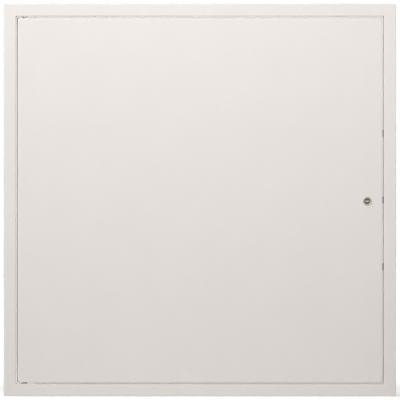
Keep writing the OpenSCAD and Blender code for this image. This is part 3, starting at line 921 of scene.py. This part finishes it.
@dataclass
class SpotWeld:
    """The shallow ring that a spot-welding tip leaves on a sheet."""

    tip_d: float = 3.4
    ring_d: float = 5.2
    ring_h: float = 0.14
    crest_w: float = 0.3
    pool_h: float = 0.05
    sink: float = 0.05
    steps: int = 24

    def shape(self) -> BMesh:
        """Builds the ring with its flat pool and a closed underside."""
        tip, ring, half = self.tip_d / 2, self.ring_d / 2, self.crest_w / 2
        crest = (tip + ring) / 2
        return turned([
            (0.0, self.pool_h), (tip, self.pool_h), (crest - half, self.ring_h),
            (crest + half, self.ring_h), (ring, 0.0), (ring, -self.sink), (0.0, -self.sink),
        ], self.steps)


@dataclass
class Piece:
    """A finished piece: its object, body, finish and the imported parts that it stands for."""

    obj: Object
    body: Body
    finish: Finish
    stands_for: tuple[str, ...] = ()


@dataclass
class Assembly:
    """A sub-assembly that makes pieces and dresses them."""

    row_tree: NodeTree
    seed: int = field(default=7, kw_only=True)
    weld: SpotWeld = field(default_factory=SpotWeld, kw_only=True)
    pieces: list[Piece] = field(default_factory=list, kw_only=True)

    def add(self, obj: Object, body: Body, finish: Finish, *stands_for: str) -> None:
        """Notes a finished object.

        Args:
            obj: The object.
            body: Body that it rides on.
            finish: Its finish.
            stands_for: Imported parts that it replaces.
        """
        self.pieces.append(Piece(obj, body, finish, stands_for))

    def copy(
        self, body: Body, finish: Finish, soften_mm: float, *nodes: str, mitred: bool = False
    ) -> None:
        """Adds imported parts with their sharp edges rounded.

        Args:
            body: Body that they ride on.
            finish: Their finish.
            soften_mm: Width of the rounding.
            nodes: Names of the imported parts.
            mitred: Leaves the edges in the frame's mitre planes sharp.
        """
        for node in nodes:
            self.add(finished_copy(node, soften_mm, mitred), body, finish, node)

    def stamp(
        self, name: str, shape: BMesh, rows: Sequence[Row], body: Body, finish: Finish,
        *stands_for: str, jitter: float = 0.0,
    ) -> None:
        """Adds one shape, set along rows by Geometry Nodes.

        Args:
            name: Name of the new piece.
            shape: The stamped shape, standing on z = 0 and facing +Z.
            rows: Where it goes.
            body: Body that it rides on.
            finish: Its finish.
            stands_for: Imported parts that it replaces.
            jitter: Share by which a copy may be smaller than the shape.
        """
        die = to_object(f"{name}_stamp", shape)
        made = [
            run_tree(self.row_tree, f"{name}_{number}", {
                "Stamp": die, "Start": tuple(row.start), "End": tuple(row.end),
                "Count": row.count, "Facing": row.facing.turn(), "Jitter": jitter,
                "Seed": self.seed + number, "Material": finish.material(),
            })
            for number, row in enumerate(rows)
        ]
        bpy.data.objects.remove(die)
        self.add(joined(name, made), body, finish, *stands_for)

    def build(self) -> None:
        """Makes the pieces."""
        raise NotImplementedError

    def dress(self) -> None:
        """Gives each piece its finish, its body and the parts that it stands for."""
        for piece in self.pieces:
            obj = piece.obj
            obj.data.materials.clear()
            obj.data.materials.append(piece.finish.material())
            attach(obj, piece.body.value)
            if piece.stands_for:
                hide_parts(*piece.stands_for)
            log.info("%s: %s on %s", obj.name, piece.finish.name, piece.body.value)


@dataclass
class PanelFrame(Assembly):
    """Four mitred rails, the door stops, the corner cleats and what joins them, coated as one."""

    rails: tuple[str, ...] = ("top_rail", "bottom_rail", "hinge_rail", "lock_rail")
    stops: tuple[str, ...] = ("top_stop", "bottom_stop", "lock_stop")
    cleats: tuple[str, ...] = (
        "cleat_top_hinge", "cleat_top_lock", "cleat_bottom_hinge", "cleat_bottom_lock",
    )
    sheet_t: float = 1.2
    edge_soften: float = 0.3
    cleat_t: float = 1.5
    cleat_soften: float = 0.2
    rivet_end: float = 7.0
    rivet_pitch: float = 15.0
    rivets_per_leg: int = 2
    rivet_d: float = 3.2
    rivet_head_d: float = 6.4
    rivet_head_h: float = 1.4
    rivet_rim_share: float = 0.25
    rivet_tail_d: float = 4.8
    rivet_tail_h: float = 2.6
    # How far each point of the bulb lies inside the tail's radius and behind the sheets
    rivet_bulb: Profile = ((0.2, 0.0), (0.0, 0.6), (0.25, 1.3))
    rivet_tip_w: float = 0.4
    rivet_tip_h: float = 0.3
    rivet_grip: float = 2.7
    rivet_steps: int = 28
    mandrel_d: float = 1.9
    mandrel_sink: float = 0.45
    mandrel_round: float = 0.1
    weld_count: int = 8
    weld_end: float = 34.0
    weld_back: float = 5.5
    bead_w: float = 3.0
    bead_h: float = 0.8
    bead_sink: float = 0.1
    bead_count: int = 15
    bead_end: float = 2.6
    bead_jitter: float = 0.18
    bead_steps: int = 20
    dome_steps: int = 6

    def build(self) -> None:
        """Makes the rails, stops, cleats, rivets and welds."""
        self.copy(Body.FRAME, POWDER, self.edge_soften, *self.rails, *self.stops, mitred=True)
        self.copy(Body.FRAME, POWDER, self.cleat_soften, *self.cleats)
        self.stamp(
            "cleat_rivets_set", self.rivet(), self.rivet_rows(), Body.FRAME, POWDER, "cleat_rivets"
        )
        self.stamp("stop_spot_welds", self.weld.shape(), self.weld_rows(), Body.FRAME, POWDER)
        self.stamp(
            "mitre_weld_beads", self.bead(), self.bead_rows(), Body.FRAME, POWDER,
            jitter=self.bead_jitter,
        )

    def rivet(self) -> BMesh:
        """Builds a set blind rivet: domed head with its broken stem, shank and bulbed tail.

        Returns:
            The rivet, its head on z = 0.
        """
        head, shank, tail = self.rivet_head_d / 2, self.rivet_d / 2, self.rivet_tail_d / 2
        stem, soft, rim = self.mandrel_d / 2, self.mandrel_round, self.rivet_rim_share
        top, grip = self.rivet_head_h, -self.rivet_grip
        sunk, end = top - self.mandrel_sink, grip - self.rivet_tail_h
        dome = [
            (stem + (head - stem) * sine, top * (rim + (1 - rim) * cosine))
            for sine, cosine in quarter(self.dome_steps)
        ]
        bulb = [(tail - inward, grip - down) for inward, down in self.rivet_bulb]
        return turned([
            (0.0, sunk - soft), (stem - soft, sunk), (stem, top - soft / 2), *dome, (head, 0.0),
            (shank, 0.0), (shank, grip), *bulb, (shank, end + self.rivet_tip_h),
            (shank - self.rivet_tip_w, end), (0.0, end),
        ], self.rivet_steps)

    def rivet_rows(self) -> list[Row]:
        """Gives the rivets of each cleat leg.

        Returns:
            One row for each leg, on the face that the heads sit on.
        """
        rows = []
        for node in self.cleats:
            low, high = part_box(node)
            corner = Vector([max(pair, key=abs) for pair in zip(low, high)])
            tip = Vector([min(pair, key=abs) for pair in zip(low, high)])
            for along, across in ((0, 2), (2, 0)):
                onward, outward = math.copysign(MM, corner[along]), math.copysign(1.0, corner[across])
                seat = Vector((0.0, (low.y + high.y) / 2, 0.0))
                seat[across] = corner[across] - outward * self.cleat_t * MM
                seat[along] = tip[along] + onward * self.rivet_end
                last = seat.copy()
                last[along] += onward * self.rivet_pitch * (self.rivets_per_leg - 1)
                inward = tuple(-outward if axis == across else 0.0 for axis in range(3))
                rows.append(Row(seat, last, self.rivets_per_leg, Facing(inward)))
        return rows

    def weld_rows(self) -> list[Row]:
        """Gives the spot welds that hold the legs of the stops on the webs.

        Returns:
            One row for each stop.
        """
        rows = []
        end, sheet = self.weld_end * MM, self.sheet_t * MM
        for node, facing, across in (
            ("lock_stop", Facing.LEFT, 0), ("top_stop", Facing.DOWN, 2), ("bottom_stop", Facing.UP, 2),
        ):
            low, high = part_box(node)
            web = low if facing is Facing.UP else high
            start, stop = low + Vector((end, 0.0, end)), high - Vector((end, 0.0, end))
            for point in (start, stop):
                point.y = high.y - self.weld_back * MM
                point[across] = web[across] + sheet * facing.value[across]
            rows.append(Row(start, stop, self.weld_count, facing))
        return rows

    def bead(self) -> BMesh:
        """Builds one scale of a weld bead, a low dome with a closed underside."""
        half, sink = self.bead_w / 2, -self.bead_sink
        dome = [(half * sine, self.bead_h * cosine) for sine, cosine in quarter(self.dome_steps)]
        return turned([*dome, (half, sink), (0.0, sink)], self.bead_steps)

    def bead_rows(self) -> list[Row]:
        """Gives the weld beads on the back of the flange, along its four mitres.

        Returns:
            One row for each corner.
        """
        low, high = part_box("lock_rail")
        back = low.y + self.sheet_t * MM
        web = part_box("lock_stop")[1].x + self.sheet_t * MM
        near = web + self.bead_end * MM
        far = high.x - (self.sheet_t + self.bead_end) * MM
        return [
            Row(
                Vector((sx * near, back, sz * near)), Vector((sx * far, back, sz * far)),
                self.bead_count, Facing.BACK,
            )
            for sx in (-1, 1) for sz in (-1, 1)
        ]


@dataclass
class Buffers(Assembly):
    """Moulded buffers on the stops: grey ones on the lock side and a pale one at the top."""

    grey: tuple[str, ...] = ("upper_buffer", "middle_buffer", "lower_buffer")
    pale: str = "top_buffer"
    soften: float = 0.45

    def build(self) -> None:
        """Makes the four buffers."""
        self.copy(Body.FRAME, RUBBER, self.soften, *self.grey)
        self.copy(Body.FRAME, NYLON, self.soften, self.pale)


@dataclass
class TrayDoor(Assembly):
    """The folded door with its stiffeners and the doubler behind the lock."""

    stiffeners: tuple[str, ...] = ("hinge_stiffener", "lock_stiffener")
    edge_soften: float = 0.25
    thin_soften: float = 0.18
    stiffener_t: float = 0.8
    foot_w: float = 11.0
    weld_count: int = 9
    weld_end: float = 18.0
    doubler_inset: float = 6.0
    doubler_count: int = 2

    def build(self) -> None:
        """Makes the tray, the stiffeners, the doubler and their spot welds."""
        self.copy(Body.DOOR, POWDER, self.edge_soften, "door_tray")
        self.copy(Body.DOOR, GALVANISED, self.thin_soften, *self.stiffeners)
        self.copy(Body.DOOR, GALVANISED, self.edge_soften, "lock_doubler")
        rows = []
        for node in self.stiffeners:
            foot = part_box(node)[0].y + self.stiffener_t * MM
            rows += self.weld_rows(node, foot, self.foot_w / 2, self.weld_end, self.weld_count)
        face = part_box("lock_doubler")[1].y
        inset = self.doubler_inset
        rows += self.weld_rows("lock_doubler", face, inset, inset, self.doubler_count)
        self.stamp("door_spot_welds", self.weld.shape(), rows, Body.DOOR, GALVANISED)

    def weld_rows(self, node: str, face: float, inset_mm: float, end_mm: float, count: int) -> list[Row]:
        """Gives upright rows of spot welds near both sides of a part.

        Args:
            node: Name of the part.
            face: Where its rear face lies, in metres.
            inset_mm: Distance from its sides to the rows.
            end_mm: Distance from its ends to the outer welds.
            count: Number of welds in a row.

        Returns:
            Two rows.
        """
        low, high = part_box(node)
        inset, end = inset_mm * MM, end_mm * MM
        return [
            Row(Vector((x, face, low.z + end)), Vector((x, face, high.z - end)), count, Facing.BACK)
            for x in (low.x + inset, high.x - inset)
        ]


@dataclass
class Pivots(Assembly):
    """The bushes in the frame, the fixed lower pin and the sprung upper bolt."""

    bushes: tuple[str, ...] = ("upper_bush", "lower_bush")
    brackets: tuple[str, ...] = ("upper_pivot_bracket", "lower_pivot_bracket")
    bush_soften: float = 0.3
    bracket_soften: float = 0.25
    bracket_t: float = 1.5
    pin_soften: float = 0.35
    clip_soften: float = 0.12
    wire_d: float = 0.8
    coils: float = 9.0
    weld_low: float = 8.0
    weld_high: float = 5.0
    weld_count: int = 2

    def build(self) -> None:
        """Makes the bushes, brackets, pins, clip and spring."""
        self.copy(Body.FRAME, NYLON, self.bush_soften, *self.bushes)
        self.copy(Body.DOOR, GALVANISED, self.bracket_soften, *self.brackets)
        rows = [self.bracket_row(node) for node in self.brackets]
        self.stamp("bracket_spot_welds", self.weld.shape(), rows, Body.DOOR, GALVANISED)
        self.copy(Body.DOOR, ZINC, self.pin_soften, "lower_pivot_pin")
        self.copy(Body.PIVOT_BOLT, ZINC, self.pin_soften, "spring_bolt")
        self.copy(Body.PIVOT_BOLT, SPRING, self.clip_soften, "bolt_clip")
        self.add(self.spring(), Body.DOOR, SPRING, "bolt_spring")

    def bracket_row(self, node: str) -> Row:
        """Gives the spot welds of a bracket's leg on the door edge.

        Args:
            node: Name of the bracket.

        Returns:
            One upright row.
        """
        low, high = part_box(node)
        x, y = low.x + self.bracket_t * MM, (low.y + high.y) / 2
        start = Vector((x, y, low.z + self.weld_low * MM))
        end = Vector((x, y, high.z - self.weld_high * MM))
        return Row(start, end, self.weld_count, Facing.RIGHT)

    def spring(self) -> Object:
        """Winds the compression spring between the bracket and the clip.

        Returns:
            The spring, in its place.
        """
        low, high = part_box("bolt_spring")
        wire = self.wire_d * MM
        obj = run_tree(coil_tree(), "bolt_spring_wound", {
            "Coils": self.coils, "Mean Radius": (high.x - low.x - wire) / 2,
            "Height": high.z - low.z - wire, "Wire Radius": wire / 2, "Material": SPRING.material(),
        })
        middle = (low + high) / 2
        obj.data.transform(Matrix.Translation((middle.x, middle.y, low.z + wire / 2)))
        return obj

    def dress(self) -> None:
        """Dresses the pieces, and gives the spring a mesh of its own."""
        super().dress()
        spring = next(p.obj for p in self.pieces if "bolt_spring" in p.stands_for)
        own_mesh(spring)


@dataclass
class CamLock(Assembly):
    """A quarter-turn lock: body with thread, washer, nut, plug and cam."""

    round_steps: int = 96
    rim_d: float = 15.0
    rim_round: float = 0.7
    rim_round_steps: int = 5
    rim_seat: float = -4.0
    dish_d: float = 11.0
    dish_h: float = 1.0
    recess_d: float = 9.0
    recess_floor: float = 0.82
    face_round: float = 0.18
    bore_d: float = 8.1
    barrel_d: float = 12.0
    barrel_chamfer: float = 0.4
    flats_w: float = 10.6
    thread_pitch: float = 1.0
    thread_depth: float = 0.5
    thread_run_out: float = 1.2
    thread_lead_in: float = 1.0
    thread_steps: int = 8
    nut_af: float = 16.0
    nut_bore_d: float = 12.2
    nut_bore_chamfer: float = 0.6
    nut_face_inset: float = 0.35
    nut_chamfer_slope: float = 1.75
    # Shares of the nut's height at which its lower half has points, close together in the chamfer
    nut_levels: tuple[float, ...] = (0.0, 0.03, 0.08, 0.14, 0.2, 0.3, 0.5)
    washer_d: float = 18.0
    washer_bore_d: float = 12.2
    washer_t: float = 0.5
    washer_round: float = 0.1
    washer_steps: int = 84
    tooth_count: int = 14
    tooth_w: float = 2.2
    tooth_len: float = 2.0
    tooth_round: float = 0.12
    tooth_twist: float = 7.0
    plug_soften: float = 0.2
    cam_soften: float = 0.3
    screw_soften: float = 0.2

    def build(self) -> None:
        """Makes the lock's pieces."""
        self.add(self.body(), Body.DOOR, NICKEL, "lock_body")
        self.add(self.washer(), Body.DOOR, ZINC, "lock_washer")
        self.add(self.nut(), Body.DOOR, ZINC, "lock_nut")
        self.copy(Body.LATCH, NICKEL, self.plug_soften, "lock_plug")
        self.copy(Body.LATCH, ZINC, self.cam_soften, "lock_cam")
        self.copy(Body.LATCH, ZINC, self.screw_soften, "cam_washer", "cam_screw")

    def on_axis(self, depth: float = 0.0) -> Matrix:
        """Gives the move from the Z axis to the lock's axis, from a depth in metres."""
        place = Matrix.Translation((LOCK_AXIS.x, depth, LOCK_AXIS.z))
        return place @ Matrix.Rotation(math.radians(-90), 4, "X")

    def body(self) -> Object:
        """Turns the body: dished rim, key recess, and a threaded barrel with two flats.

        Returns:
            The body, in its place.
        """
        low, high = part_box("lock_body")
        front, end, seat = low.y / MM, high.y / MM, self.rim_seat
        bore, recess, dish = self.bore_d / 2, self.recess_d / 2, self.dish_d / 2
        rim, soft, barrel = self.rim_d / 2, self.rim_round, self.barrel_d / 2
        face = fillet([
            (bore, end), (bore, self.recess_floor), (recess, self.recess_floor),
            (recess, front + self.dish_h), (dish, front), (rim, front), (rim, seat), (barrel, seat),
        ], self.face_round)
        face = [p for p in face if not (p[0] > rim - soft and p[1] < front + soft)]
        cut = next(i for i, p in enumerate(face) if p[0] > rim - NEAR_MM)
        face[cut:cut] = [
            (rim - soft * (1 - sine), front + soft * (1 - cosine))
            for sine, cosine in quarter(self.rim_round_steps)
        ]
        length = end - self.barrel_chamfer - seat
        count = int(length / self.thread_pitch * self.thread_steps)
        side = [(barrel, seat + length * i / count) for i in range(1, count + 1)]
        tip = (barrel - self.barrel_chamfer, end)
        bm = turned([*face, *side, tip], self.round_steps, self.barrel_rule(seat, end))
        return to_object("lock_body_turned", bm, self.on_axis())

    def barrel_rule(self, seat: float, end: float) -> ShapeRule:
        """Gives the shape of the threaded barrel.

        Args:
            seat: Depth where the barrel starts, in millimetres.
            end: Depth where it ends.

        Returns:
            The rule that cuts the thread and the flats.
        """
        barrel, flat = self.barrel_d / 2, self.flats_w / 2

        def rule(radius: float, height: float, angle: float) -> float:
            """Gives the radius at one point of the barrel."""
            if height < seat or not barrel - self.thread_depth <= radius <= barrel + NEAR_MM:
                return radius
            started = max(0.0, height - seat) / self.thread_run_out
            left = max(0.0, end - height) / self.thread_lead_in
            depth = min(1.0, started, left) * self.thread_depth
            cut = radius - depth * thread_share(height, angle, self.thread_pitch)
            return min(cut, flat / max(abs(math.sin(angle)), NEAR_MM))

        return rule

    def nut(self) -> Object:
        """Turns the hexagon nut with its chamfered corners.

        Returns:
            The nut, in its place.
        """
        low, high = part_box("lock_nut")
        bore, flat, height = self.nut_bore_d / 2, self.nut_af / 2, (high.y - low.y) / MM
        side, lead = math.radians(60), self.nut_bore_chamfer
        corner = flat / math.cos(side / 2)
        levels = [*self.nut_levels, *[1 - share for share in self.nut_levels[-2::-1]]]

        def rule(radius: float, level: float, angle: float) -> float:
            """Gives the radius of the hexagon, cut by the chamfer cones."""
            if radius < corner - NEAR_MM:
                return radius
            cone = flat - self.nut_face_inset + self.nut_chamfer_slope * min(level, height - level)
            return min(flat / math.cos(angle % side - side / 2), cone)

        bm = turned([
            (bore, height - lead), (bore, lead), (bore + lead, 0.0),
            *[(corner, height * share) for share in levels], (bore + lead, height),
        ], self.round_steps, rule)
        return to_object("lock_nut_turned", bm, self.on_axis(low.y))

    def washer(self) -> Object:
        """Makes the toothed lock washer, its teeth twisted out of the flat.

        Returns:
            The washer, in its place.
        """
        low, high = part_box("lock_washer")
        bore, outer, half = self.washer_bore_d / 2, self.washer_d / 2, self.washer_t / 2
        root = outer - self.tooth_len
        section = fillet([
            (bore, 0.0), (bore, half), (root, half), (root, -half), (bore, -half), (bore, 0.0),
        ], self.washer_round)
        ring = to_object("washer_ring", turned(section[:-1], self.washer_steps))
        bm = bmesh.new()
        bmesh.ops.create_cube(bm, size=1.0)
        tooth_size = Vector((self.tooth_len, self.tooth_w, self.washer_t)) * MM
        bmesh.ops.scale(bm, vec=tooth_size, verts=bm.verts)
        bmesh.ops.bevel(
            bm, geom=bm.edges[:], offset=self.tooth_round * MM, segments=ROUND_STEPS, profile=0.5,
            affect="EDGES",
        )
        tooth = to_object("washer_tooth", bm, Matrix.Rotation(math.radians(self.tooth_twist), 4, "X"))
        obj = run_tree(toothed_ring_tree(), "lock_washer_toothed", {
            "Ring": ring, "Tooth": tooth, "Count": self.tooth_count,
            "Radius": (outer - self.tooth_len / 2) * MM, "Material": ZINC.material(),
        })
        for part in (ring, tooth):
            bpy.data.objects.remove(part)
        obj.data.transform(self.on_axis((low.y + high.y) / 2))
        return obj


@dataclass(frozen=True)
class Softbox:
    """A square softbox: where it hangs, what it points at, its side and its power.

    A polarised one shows no glare of its own, and one that spares the floor leaves it one shadow.
    """

    name: str
    place: tuple[float, float, float]
    side: float
    watts: float
    aim: tuple[float, float, float] = (0.0, 0.0, 0.0)
    spread_deg: float = 180.0
    polarised: bool = False
    spares_floor: bool = False

    def hang(self, floor: Object) -> None:
        """Adds the lamp to the scene.

        Args:
            floor: The floor, which some lamps leave out.
        """
        data = bpy.data.lights.new(self.name, "AREA")
        data.size, data.energy, data.spread = self.side, self.watts, math.radians(self.spread_deg)
        lamp = linked(self.name, data)
        lamp.location = self.place
        away = Vector(self.aim) - Vector(self.place)
        lamp.rotation_euler = away.to_track_quat("-Z", "Y").to_euler()
        lamp.visible_glossy = not self.polarised
        if self.spares_floor:
            spared = bpy.data.collections.new(f"{self.name}_spares")
            spared.objects.link(floor)
            spared.collection_objects[0].light_linking.link_state = "EXCLUDE"
            lamp.light_linking.receiver_collection = spared


@dataclass
class Studio:
    """Camera, lamps, floor and world, for an object photographed square on."""

    photo_px: float = 400.0
    panel_px: float = 392.6
    camera_distance: float = 20.0
    camera_x: float = 0.0003
    sensor_mm: float = 36.0
    lamps: tuple[Softbox, ...] = (
        Softbox("front_softbox", (0.6, -20.1, -0.1), 0.35, 21.8, (0.0, 0.0, 0.85), 13.9, polarised=True),
        Softbox("key_softbox", (-1.6, -0.75, 2.0), 0.9, 28.5),
        Softbox("rear_key_softbox", (2.0, 1.8, 1.6), 1.2, 60.0, spares_floor=True),
        Softbox("rear_fill_softbox", (-1.7, 2.3, 0.5), 1.6, 25.0, spares_floor=True),
    )
    sky: float = 0.083
    floor_radius: float = 30.0
    floor_sides: int = 96
    floor_drop: float = 0.0005
    floor_grey: str = "BFBDBA"
    floor_white: str = "FAFAF9"
    floor_lift: float = 0.6
    shadow_reach: tuple[float, float] = (0.7, 2.2)

    def build(self) -> None:
        """Sets up the studio."""
        bpy.context.scene.view_settings.view_transform = "Standard"
        self.camera()
        floor = self.floor()
        for lamp in self.lamps:
            lamp.hang(floor)
        self.world()
        log.info("studio is set")

    def camera(self) -> None:
        """Places the camera square on, so that the panel fills the photo's frame."""
        low, high = CAD_BOX
        data = bpy.data.cameras.new("camera")
        camera = linked("camera", data)
        flange_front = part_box("lock_rail")[0].y
        seen = (high.x - low.x) * self.photo_px / self.panel_px
        data.sensor_width = self.sensor_mm
        data.lens = self.sensor_mm * self.camera_distance / seen
        camera.location = (self.camera_x, flange_front - self.camera_distance, 0.0)
        camera.rotation_euler = (math.radians(90), 0.0, 0.0)
        bpy.context.scene.camera = camera

    def seen_rays(self, tree: NodeTree) -> NodeSocket:
        """Tells rays that show the background from rays that light the object.

        Args:
            tree: Tree of the floor or the world.

        Returns:
            One for camera, glossy and transmission rays.
        """
        path = add_node(tree, "ShaderNodeLightPath")
        seen = path.outputs["Is Camera Ray"]
        for ray in ("Is Glossy Ray", "Is Transmission Ray"):
            seen = add_node(
                tree, "ShaderNodeMath", {0: seen, 1: path.outputs[ray]}, operation="MAXIMUM"
            ).outputs[0]
        return seen

    def floor(self) -> Object:
        """Lays the pale floor, which keeps the object's shadow and is plain white further out.

        Returns:
            The floor.
        """
        bm = bmesh.new()
        bmesh.ops.create_circle(bm, cap_ends=True, segments=self.floor_sides, radius=self.floor_radius)
        mesh = plain_mesh("floor", bm)
        mesh.transform(Matrix.Translation((0.0, 0.0, CAD_BOX[0].z - self.floor_drop)))
        paint = bpy.data.materials.new("pale_floor")
        paint.use_nodes = True
        tree = paint.node_tree
        tree.nodes.remove(tree.nodes["Principled BSDF"])
        seen = self.seen_rays(tree)
        tone = add_node(
            tree, "ShaderNodeMix",
            {0: seen, 6: linear(self.floor_grey), 7: linear(self.floor_white)}, data_type="RGBA",
        )
        matt = add_node(tree, "ShaderNodeBsdfDiffuse", {"Color": tone.outputs[2]})
        place = add_node(tree, "ShaderNodeTexCoord")
        flat = add_node(
            tree, "ShaderNodeVectorMath", {0: place.outputs["Object"], 1: (1.0, 1.0, 0.0)},
            operation="MULTIPLY",
        )
        reach = add_node(tree, "ShaderNodeVectorMath", {0: flat.outputs["Vector"]}, operation="LENGTH")
        start, end = self.shadow_reach
        glow = add_node(
            tree, "ShaderNodeMapRange",
            {
                "Value": reach.outputs["Value"], "From Min": start, "From Max": end,
                "To Min": self.floor_lift, "To Max": 1.0,
            },
            interpolation_type="SMOOTHSTEP",
        )
        lift = add_node(tree, "ShaderNodeMath", {0: seen, 1: glow.outputs[0]}, operation="MULTIPLY")
        white = add_node(
            tree, "ShaderNodeEmission", {"Color": linear(WHITE), "Strength": lift.outputs[0]}
        )
        both = add_node(tree, "ShaderNodeAddShader", {0: matt.outputs[0], 1: white.outputs[0]})
        set_inputs(tree, tree.nodes["Material Output"], {"Surface": both.outputs[0]})
        mesh.materials.append(paint)
        floor = linked("floor", mesh)
        return floor

    def world(self) -> None:
        """Makes a white surround that lights the object only at the level of a soft fill."""
        world = bpy.data.worlds.new("white_surround")
        bpy.context.scene.world = world
        world.use_nodes = True
        tree = world.node_tree
        light = tree.nodes["Background"]
        set_inputs(tree, light, {"Color": linear(WHITE), "Strength": self.sky})
        white = add_node(tree, "ShaderNodeBackground", {"Color": linear(WHITE), "Strength": 1.0})
        both = add_node(
            tree, "ShaderNodeMixShader",
            {0: self.seen_rays(tree), 1: light.outputs[0], 2: white.outputs[0]},
        )
        set_inputs(tree, tree.nodes["World Output"], {"Surface": both.outputs[0]})


def main() -> None:
    """Builds and dresses the sub-assemblies, then sets up the studio."""
    logging.basicConfig(level=logging.INFO, format="%(name)s: %(message)s")
    row_tree = stamped_row_tree()
    for kind in (PanelFrame, Buffers, TrayDoor, Pivots, CamLock):
        assembly = kind(row_tree)
        assembly.build()
        assembly.dress()
    Studio().build()


if __name__ == "__main__":
    main()
